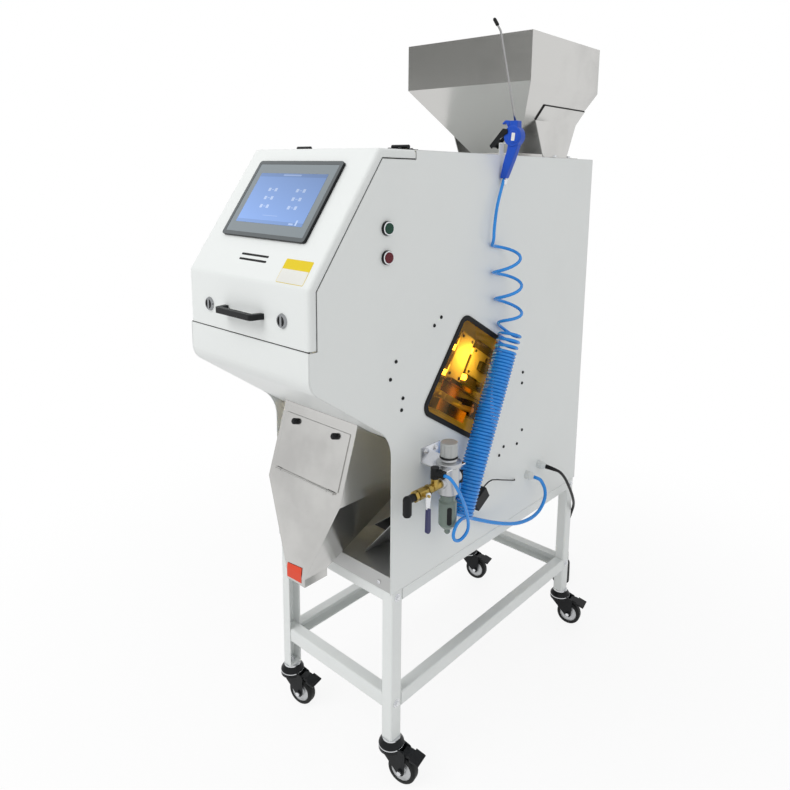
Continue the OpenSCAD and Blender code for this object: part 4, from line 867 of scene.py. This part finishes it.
def lid_profile(inset):
    """The lid's corners seen from the side, in y and z, drawn in by inset"""
    corners = [Vector(p) for p in ((NOSE_Y, LID_LOW), (NOSE_Y, BEND_Z), (FOLD_Y, TOP_Z), (BACK_Y, TOP_Z))]
    drawn = [corners[0] + Vector((inset, 0.0))]
    for a, b, c in zip(corners, corners[1:], corners[2:]):
        n0, n1 = (Vector((way.y, -way.x)).normalized() for way in (b - a, c - b))
        drawn.append(b + (n0 + n1) * (inset / (1 + n0.dot(n1))))
    return drawn + [corners[3] - Vector((0.0, inset))]


def shell_loft(path, inner, radius, half, depth):
    """Rows of points across a folded cover with rounded side edges; path runs along its outside"""
    edge = [(half, depth), (half, radius + 0.002)]
    for degrees in range(0, 91, 15):
        angle = math.radians(degrees)
        edge.append((half - radius + radius * math.cos(angle), radius - radius * math.sin(angle)))
    edge.append((half - radius - 0.002, 0.0))
    row = [(-x, d) for x, d in edge] + edge[::-1]
    return [[(x, *(outside + (inside - outside) * (d / depth))) for x, d in row]
            for outside, inside in zip(path, inner)]


def lid_skin():
    """The lid's folded sheet"""
    corners, inner = lid_profile(0.0), lid_profile(SKIRT_W)
    path, within = [corners[0]], [inner[0]]
    for k in (1, 2):
        arc = rounded_corner(corners[k - 1], corners[k], corners[k + 1], LID_BEND_R)
        before, after = arc[0].lerp(corners[k - 1], 0.02), arc[-1].lerp(corners[k + 1], 0.02)
        arc = [before] + arc + [after]
        path += arc
        within += [inner[k]] * len(arc)
    rows = shell_loft(path + corners[3:], within + inner[3:], LID_EDGE_R, HALF_W, SKIRT_W)
    across = len(rows[0])
    starts = [r * across + k for r in range(len(rows) - 1) for k in range(across - 1)]
    faces = [(a, a + 1, a + across + 1, a + across) for a in starts]
    skin = new_piece("lid_skin", "lid", sum(rows, []), faces, ["powder coat"], smooth=True)
    sheet = skin.modifiers.new("Sheet", "SOLIDIFY")
    sheet.thickness = 0.0018
    sheet.offset = -1.0
    skin.modifiers.new("Even shading", "WEIGHTED_NORMAL")
    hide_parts("lid_shell")


def lid_seam_shade():
    """A black strip in the seam round the lid: painted shade of the seam"""
    strip = rectangle(-0.0011, -0.002, 0.0011, 0.002)
    deep = 0.0030
    edge = lid_profile(SKIRT_W + SEAM / 2)
    seam_strip = Lathe()
    for side in (-1, 1):
        for a, b in zip(edge, edge[1:]):
            way = Vector((0, *(b - a)))
            seam_strip.slab(frame_at((side * (HALF_W - deep), *a), way, RIGHT), strip, 0.0, way.length)
    half = HALF_W - 0.002
    seam_strip.slab(frame_at((-half, NOSE_Y + deep, LID_LOW - SEAM / 2), RIGHT, BACK), strip, 0.0, 2 * half)
    seam_strip.piece("lid_seam_shade", "machine", "rubber", ["black rubber"])


class SORTER_OT_cabinet(bpy.types.Operator):
    """Paints the cabinet and the stand, and makes the lid's folded skin and the black strip of painted shade in
    its seam
    """

    bl_idname = "sorter.cabinet"
    bl_label = "Cabinet"

    def execute(self, context):
        dress_all("powder coat", "side_panel_left", "side_panel_right", "rear_top_cover", "front_fascia",
                  "lid_shell")
        dress_all("stand paint", "stand_legs", "stand_rails")
        lid_skin()
        lid_seam_shade()
        return {"FINISHED"}


def bracket_gap_shade():
    """Black strips in the gaps between the hopper and its brackets: painted shade of those gaps"""
    lean = math.radians(36.1)
    strips = Lathe()
    for side in (-1, 1):
        rise = Vector((side * math.sin(lean), 0, math.cos(lean)))
        top = frame_at((side * 0.1742, 0.303, 1.6362), BACK, rise)
        strips.slab(top, rectangle(-0.0022, -0.0022, 0.0022, 0.0012), -0.111, 0.111)
        foot = frame_at((side * 0.1475, 0.1916, 1.5990), rise, BACK)
        strips.slab(foot, rectangle(-0.0024, -0.0012, 0.0024, 0.0012), 0.0, 0.046)
    strips.piece("bracket_gap_shade", "machine", "rubber", ["gap shade"])


def spot_label():
    """A plain foil bent over the fold above the chute's lip"""
    lip_y, bend_z, lean = FRONT - 0.1080, BASE_Z + 0.025, 0.124
    rows = [(0.5360, 0.5415), (bend_z, bend_z), (0.5015, 0.5040)]
    verts = [(x, lip_y + lean * max(0.0, z - bend_z) - lift, z)
             for lift in (0.0001, 0.0006) for row in rows for x, z in zip((-0.031, 0.021), row)]
    faces = [(0, 1, 3, 2), (2, 3, 5, 4), (6, 8, 9, 7), (8, 10, 11, 9), (0, 6, 7, 1), (4, 5, 11, 10),
             (0, 2, 8, 6), (2, 4, 10, 8), (1, 7, 9, 3), (3, 9, 11, 5)]
    new_piece("blank_spot_label", "machine", verts, faces, ["red foil"])


def outlet_shade_sleeve():
    """A black sleeve inside the product outlet: painted shade of the opening"""
    x, front, back, wall = 0.0457, -0.2317, -0.1583, 0.0012
    place = Matrix.Translation((0, 0, 0.468))
    sleeve = Lathe()
    for wall_box in ((-x, front, wall - x, back), (x - wall, front, x, back),
                     (-x, front, x, front + wall), (-x, back - wall, x, back)):
        sleeve.slab(place, rectangle(*wall_box), 0.0, 0.0365)
    sleeve.piece("outlet_shade_sleeve", "machine", "rubber", ["black rubber"])


class SORTER_OT_steelwork(bpy.types.Operator):
    """Finishes the hopper, chute, door and tray, and adds a blank foil and black painted shade in the bracket
    gaps and the outlet
    """

    bl_idname = "sorter.steelwork"
    bl_label = "Steelwork"

    def execute(self, context):
        dress_all("stainless", "front_chute", "chute_door", "hopper", "hopper_brackets")
        dress_all("tray steel", "product_tray")
        dress_all("inner steel", "feeder_tray", "slide_chute")
        dress_all("black plastic", "door_latch_left", "door_latch_right")
        bracket_gap_shade()
        spot_label()
        outlet_shade_sleeve()
        return {"FINISHED"}


# Lid fittings


def picture_blocks(ground):
    """The plain picture's blocks, each with its corners, its tint and its layer"""
    pale, deep = ground.lerp(Vector((0.75, 0.85, 1.0)), 0.45), ground * 0.8
    w, h, spot = 0.112, 0.063, 0.0042
    blocks = [((-w, -h, w, h), ground, 0), ((-w, 0.054, w, h), deep, 1),
              ((-0.030, 0.0565, 0.030, 0.0605), pale.lerp(ground, 0.5), 2), ((-w, -h, w, -0.055), deep, 1)]
    for x in (-0.052, 0.042):
        for y in (0.021, 0.0, -0.021):
            for middle in (x, x + 0.022):
                blocks.append(((middle - spot, y - spot, middle + spot, y + spot), pale, 1))
            blocks.append(((x + 0.007, y - 0.0009, x + 0.015, y + 0.0009), pale.lerp(ground, 0.3), 1))
    return blocks + [((-0.030, -0.0440, 0.020, -0.0425), pale.lerp(ground, 0.6), 1),
                     ((0.088, -0.0615, 0.093, -0.0490), pale, 2),
                     ((0.068, -0.0610, 0.082, -0.0570), pale.lerp(ground, 0.3), 2)]


class SORTER_OT_screen(bpy.types.Operator):
    """Finishes the operator panel and lays a plain picture on its glass"""

    bl_idname = "sorter.screen"
    bl_label = "Operator panel"

    def execute(self, context):
        face_lift, picture_lift, layer_lift = 0.0066, 0.0011, 0.00012
        dress("hmi_housing", "black plastic", "panel face",
              lambda c: (c - SLOPE_FOOT).dot(SLOPE_OUT) > face_lift)
        glass, shader = new_material("Screen glass", (0.21, 0.245, 0.265), 0.08)
        smeared_gloss(glass, shader, 14.0, 0.10, 0.06)
        dress("hmi_glass", glass)

        picture, shader = new_material("Screen picture", (0.0, 0.0, 0.0), 0.12, Emission_Strength=1.0)
        colours = new_node(picture.node_tree, "ShaderNodeVertexColor", {}, layer_name="Picture")
        feed(picture.node_tree, shader.inputs["Emission Color"], colours.outputs["Color"])
        smeared_gloss(picture, shader, 9.0, 0.12, 0.08)

        blocks = picture_blocks(Vector(context.scene.sorter_finishes.screen[:3]))
        low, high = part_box("hmi_glass")
        centre = (Vector(low) + Vector(high)) / 2 + SLOPE_OUT * picture_lift
        verts = [centre + x * RIGHT + y * SLOPE + SLOPE_OUT * (layer_lift * layer)
                 for corners, _, layer in blocks for x, y in rectangle(*corners)]
        faces = [tuple(range(4 * k, 4 * k + 4)) for k in range(len(blocks))]
        mesh = new_piece("screen_picture", "lid", verts, faces, [picture]).data
        tints = mesh.color_attributes.new("Picture", "FLOAT_COLOR", "CORNER")
        for polygon, (_, tint, _) in zip(mesh.polygons, blocks):
            for loop in polygon.loop_indices:
                spot = mesh.vertices[mesh.loops[loop].vertex_index].co - centre
                lift = max(0.5, 1.0 - 3.0 * spot.dot(SLOPE) - 0.8 * spot.x)
                tints.data[loop].color = (*(tint * lift), 1.0)
        return {"FINISHED"}


class SORTER_OT_lid_fittings(bpy.types.Operator):
    """Finishes the handle, the locks and the hinges, and adds the sounder's mesh and a blank label"""

    bl_idname = "sorter.lid_fittings"
    bl_label = "Lid fittings"

    def execute(self, context):
        dress("lid_handle", "black plastic")
        dress_all("black paint", "lid_hinge_leaves", "cabinet_hinge_leaves")
        lock_z, lock_r, key_half, proud = LID_LOW + 0.049, 0.0105, 0.0031, 0.0005
        for node, x in (("lid_lock_left", -LOCK_X), ("lid_lock_right", LOCK_X)):
            dress(node, "dark chrome", "slot black",
                  lambda c: (math.hypot(c.x - x, c.z - lock_z) < lock_r and c.y < NOSE_Y - proud
                             and abs(c.x - x) > key_half))
        sounder = Lathe()
        for k in (-0.5, 0.5):
            middle = SLOPE_FOOT + SLOPE * (0.048 + k * 0.0115) - SLOPE_OUT * 0.0004
            sounder.slab(frame_at(middle, SLOPE_OUT, SLOPE), rounded_rect(0.0918, 0.0048, 0.0022), 0.0, 0.0006)
        sounder.piece("sounder_mesh", "lid", "black_plastic", ["slot black"])
        label = Lathe()
        place = frame_at(SLOPE_FOOT + 0.144 * RIGHT + SLOPE * 0.031, SLOPE_OUT, SLOPE)
        label.slab(place, rounded_rect(0.082, 0.052, 0.003), 0.0, 0.0003, 0)
        lower = place @ Matrix.Translation((0, -0.0105, 0))
        label.slab(lower, rounded_rect(0.080, 0.029, 0.002), 0.0002, 0.0005, 1)
        label.piece("blank_label", "lid", "grey_plastic", ["yellow foil", "white foil"])
        return {"FINISHED"}


class SORTER_OT_fasteners(bpy.types.Operator):
    """Adds the screws of the panels and hinges, and the bolts of the brackets and the stand"""

    bl_idname = "sorter.fasteners"
    bl_label = "Fasteners"

    def execute(self, context):
        dots, bolts = Lathe(), Lathe()
        for y, z in PANEL_SCREWS:
            for side in (-1, 1):
                pan_head(dots, (side * HALF_W, y, z), side * RIGHT, 0.0042)
        dots.piece("panel_screws", "machine", "black_paint", ["black paint"])
        bracket_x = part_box("hopper_brackets")[1][0] - 0.016
        for side in (-1, 1):
            for y in (0.265, 0.341):
                hex_bolt(bolts, (side * bracket_x, y, TOP_Z + 0.0025), UP, 0.010, BACK)
        for side in (-1, 1):
            for y in (-0.402, 0.402):
                for z in (0.207, 0.4845):
                    hex_bolt(bolts, (side * HALF_W, y, z), side * RIGHT, 0.010)
        pan_head(bolts, (0.163, -0.4202, 0.516), -BACK, 0.005)
        for y in (-0.311, -0.279):
            hex_bolt(bolts, (HALF_W + 0.003, y, 0.815), RIGHT, 0.008)
        bolts.piece("bolts", "machine", "zinc", ["zinc plate"])
        for name, body, y in (("cabinet_hinge_screws", "machine", BACK_Y + 0.0195),
                              ("lid_hinge_screws", "lid", BACK_Y - 0.0170)):
            screws = Lathe()
            for x in (-0.175, -0.145, 0.145, 0.175):
                pan_head(screws, (x, y, TOP_Z + 0.002), UP, 0.0038, up=BACK)
            screws.piece(name, body, "black_paint", ["black paint"])
        return {"FINISHED"}


class SORTER_OT_casters(bpy.types.Operator):
    """Finishes the casters and adds their axle nuts and swivel rings"""

    bl_idname = "sorter.casters"
    bl_label = "Casters"

    def execute(self, context):
        dress("caster_studs", "zinc plate")
        turn = math.radians(12)
        axle = Vector((-math.sin(turn), math.cos(turn), 0))
        rim_r, nut_out, trail, ring_z = 0.0265, 0.0193, 0.034, 0.0912
        for corner in ("fl", "fr", "rl", "rr"):
            dress("caster_fork_" + corner, "black paint")
            dress("caster_pedal_" + corner, "black plastic")
            low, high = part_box("caster_wheel_" + corner)
            middle = (Vector(low) + Vector(high)) / 2
            dress("caster_wheel_" + corner, "tyre", "wheel rim",
                  lambda c: (c - middle - axle * (c - middle).dot(axle)).length <= rim_r)
            bright = Lathe()
            for end in (-axle, axle):
                bright.slab(frame_at(middle + end * nut_out, end, UP), hexagon(0.0105), 0.0, 0.0042, 0, 0.0006)
            swivel = middle - axle.cross(UP) * trail
            swivel.z = ring_z
            ring = [(0.0300, 0.0), (0.0314, 0.0004), (0.0314, 0.0024), (0.0300, 0.0028)]
            bright.turned(Matrix.Translation(swivel), ring, 48)
            bright.piece("caster_trim_" + corner, "fork_" + corner, "zinc", ["zinc plate"])
        return {"FINISHED"}


# Right side


class SORTER_OT_window(bpy.types.Operator):
    """Finishes the amber window and the units behind it"""

    bl_idname = "sorter.window"
    bl_label = "Window"

    def execute(self, context):
        amber = context.scene.sorter_finishes.amber
        pane, shader = new_material("Amber pane", amber, 0.04, Transmission_Weight=1.0, IOR=1.2)
        smeared_gloss(pane, shader, 11.0, 0.08, 0.03)
        dress("window_pane", pane)
        dress("window_seal", "black rubber")
        dress_all("cast alloy", "ejector_block", "feeder_drive")
        glow, shader = new_material("Lamp tube", (0.9, 0.85, 0.7), 0.4, Emission_Strength=9.0)
        bands = effect(glow, "Soft patches", Scale=25.0)["Mask"]
        warm = mixed(glow.node_tree, bands, (1.0, 0.86, 0.55, 1.0), (1.0, 0.78, 0.42, 1.0))
        feed(glow.node_tree, shader.inputs["Emission Color"], warm)
        near, far, half = 0.048, 0.0648, 0.151
        dress("camera_units", "dark alloy", glow,
              lambda c: near < abs((c - STREAM).dot(STREAM_OUT)) < far and abs(c.x) < half)
        return {"FINISHED"}


class SORTER_OT_optics(bpy.types.Operator):
    """Adds the bars, end plates and valve block that are seen through the window"""

    bl_idname = "sorter.optics"
    bl_label = "Optics seen through the window"

    def execute(self, context):
        plates = Lathe()
        alloy, zinc, black = range(3)

        def box(x0, x1, a0, a1, u0, u1, index):
            place = frame_at(STREAM + x0 * RIGHT, RIGHT, STREAM_RUN)
            plates.slab(place, rectangle(-a1, u0, -a0, u1), 0.0, x1 - x0, index, 0.0006)

        def studs(x, a_values, u_values, radius, index):
            for u in u_values:
                for a in a_values:
                    spot = STREAM + STREAM_OUT * a + STREAM_RUN * u + x * RIGHT
                    pan_head(plates, spot, RIGHT, radius, index)

        for middle, up in ((-0.105, 0.010), (0.105, 0.0)):
            box(0.1502, 0.1530, middle - 0.056, middle + 0.056, up - 0.036, up + 0.036, alloy)
            studs(0.1530, (middle - 0.048, middle + 0.048), (up - 0.029, up + 0.029), 0.004, black)
            box(0.1530, 0.1660, middle - 0.018, middle + 0.018, up - 0.012, up + 0.012, black)
        box(0.166, 0.184, -0.170, 0.040, -0.074, -0.064, zinc)
        box(0.160, 0.1625, -0.170, 0.040, -0.100, -0.064, zinc)
        box(0.162, 0.190, -0.120, -0.066, -0.128, -0.088, black)
        studs(0.190, (-0.110, -0.076), (-0.118, -0.098), 0.0035, zinc)
        box(0.150, 0.188, -0.064, 0.060, -0.150, -0.122, zinc)
        box(0.154, 0.158, -0.030, 0.030, -0.060, 0.060, alloy)
        studs(0.158, (-0.022, 0.022), (-0.050, 0.050), 0.004, black)
        plates.piece("optic_plates", "machine", "zinc", ["cast alloy", "zinc plate", "black paint"])
        return {"FINISHED"}


class SORTER_OT_buttons(bpy.types.Operator):
    """Finishes the push buttons"""

    bl_idname = "sorter.buttons"
    bl_label = "Buttons"

    def execute(self, context):
        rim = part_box("button_bezels")[1][0] - 0.0012
        # The bezels' sides and foot, all but the outer face, take the black finish
        dress("button_bezels", "zinc plate", "black plastic", lambda c: c.x < rim)
        dress("green_button", "green cap")
        dress("red_button", "red cap")
        return {"FINISHED"}


class SORTER_OT_air_set(bpy.types.Operator):
    """Finishes the air set, the glands and the gun, and adds rings, a sight, a hose nut and a blank badge"""

    bl_idname = "sorter.air_set"
    bl_label = "Air set"

    def execute(self, context):
        x, y = REGULATOR.xy
        collar_z, collar_half, neck_r, plate_x, grip_top = 0.7927, 0.0018, 0.0181, 0.2085, 0.7285

        def is_plated(c):
            on_collar = abs(c.z - collar_z) < collar_half and math.hypot(c.x - x, c.y - y) > neck_r
            return on_collar or c.x < plate_x

        dress("regulator_body", "cast alloy", "zinc plate", is_plated)
        dress("regulator_knob", "knob alloy")
        dress("regulator_bowl", "filter bowl")
        dress("inlet_valve", "brass")
        dress("valve_lever", "zinc plate", "navy vinyl", lambda c: c.z < grip_top)
        dress_all("black plastic", "push_fittings", "pressure_switch", "gun_trigger")
        dress("cable_glands", "gland nylon")
        dress("gun_body", "gun blue", "rod steel", lambda c: c.z > GUN.z + 0.0365)
        rings = Lathe()
        chamfer, step = 0.001, 0.0008
        for z, radius, tall in ((0.8115, 0.0215, 0.004), (0.7245, 0.0228, 0.005)):
            rings.turned(Matrix.Translation((x, y, z)), [
                (radius - chamfer, 0), (radius, step), (radius, tall - step), (radius - chamfer, tall)], 40)
        turn = math.radians(50)
        out = Vector((math.sin(turn), -math.cos(turn), 0))
        sight = frame_at(Vector((x, y, 0.676)) + 0.0213 * out, out, UP)
        rings.slab(sight, rounded_rect(0.011, 0.044, 0.005), -0.003, 0.0008)
        rings.piece("regulator_rings", "machine", "black_plastic", ["black plastic"])
        nut = Lathe()
        nut.turned(frame_at((0.216, -0.046, 1.430), (0.1, 0.3, 0.95), BACK), [
            (0.0058, -0.004), (0.0072, -0.002), (0.0072, 0.007), (0.0062, 0.0085), (0.0062, 0.0115)])
        nut.piece("gun_hose_nut", "machine", "zinc", ["zinc plate"])
        badge = Lathe()
        place = frame_at(GUN + Vector((0.005, -0.0135, -0.002)), -BACK, (0.12, 0, 1))
        badge.slab(place, rounded_rect(0.0095, 0.0185, 0.0015), 0.0, 0.0004)
        badge.piece("gun_badge_blank", "machine", "grey_plastic", ["white foil"])
        return {"FINISHED"}


class SORTER_PT_panel(bpy.types.Panel):
    """Lists the dressing steps and the settings"""

    bl_idname = "SORTER_PT_panel"
    bl_label = "Colour sorter"
    bl_space_type = "VIEW_3D"
    bl_region_type = "UI"
    bl_category = "Sorter"

    def draw(self, context):
        layout = self.layout
        for step in STEPS:
            layout.operator(step.bl_idname)
        scene = context.scene
        for settings in (scene.sorter_finishes, scene.sorter_cords, scene.sorter_stage):
            for key in settings.__annotations__:
                layout.prop(settings, key)


STEPS = (SORTER_OT_stage, SORTER_OT_recoil_hose, SORTER_OT_air_tube, SORTER_OT_power_cord,
         SORTER_OT_cabinet, SORTER_OT_steelwork, SORTER_OT_screen, SORTER_OT_lid_fittings,
         SORTER_OT_fasteners, SORTER_OT_casters, SORTER_OT_window, SORTER_OT_optics, SORTER_OT_buttons,
         SORTER_OT_air_set)
CLASSES = (SorterFinishes, SorterCords, SorterStage) + STEPS + (SORTER_PT_panel,)


def register():
    for item in CLASSES:
        bpy.utils.register_class(item)
    bpy.types.Scene.sorter_finishes = PointerProperty(type=SorterFinishes)
    bpy.types.Scene.sorter_cords = PointerProperty(type=SorterCords)
    bpy.types.Scene.sorter_stage = PointerProperty(type=SorterStage)


def unregister():
    del bpy.types.Scene.sorter_finishes
    del bpy.types.Scene.sorter_cords
    del bpy.types.Scene.sorter_stage
    for item in reversed(CLASSES):
        bpy.utils.unregister_class(item)


def main():
    register()
    for step in STEPS:
        family, name = step.bl_idname.split(".")
        getattr(getattr(bpy.ops, family), name)()
    bpy.context.view_layer.update()


if __name__ == "__main__":
    main()
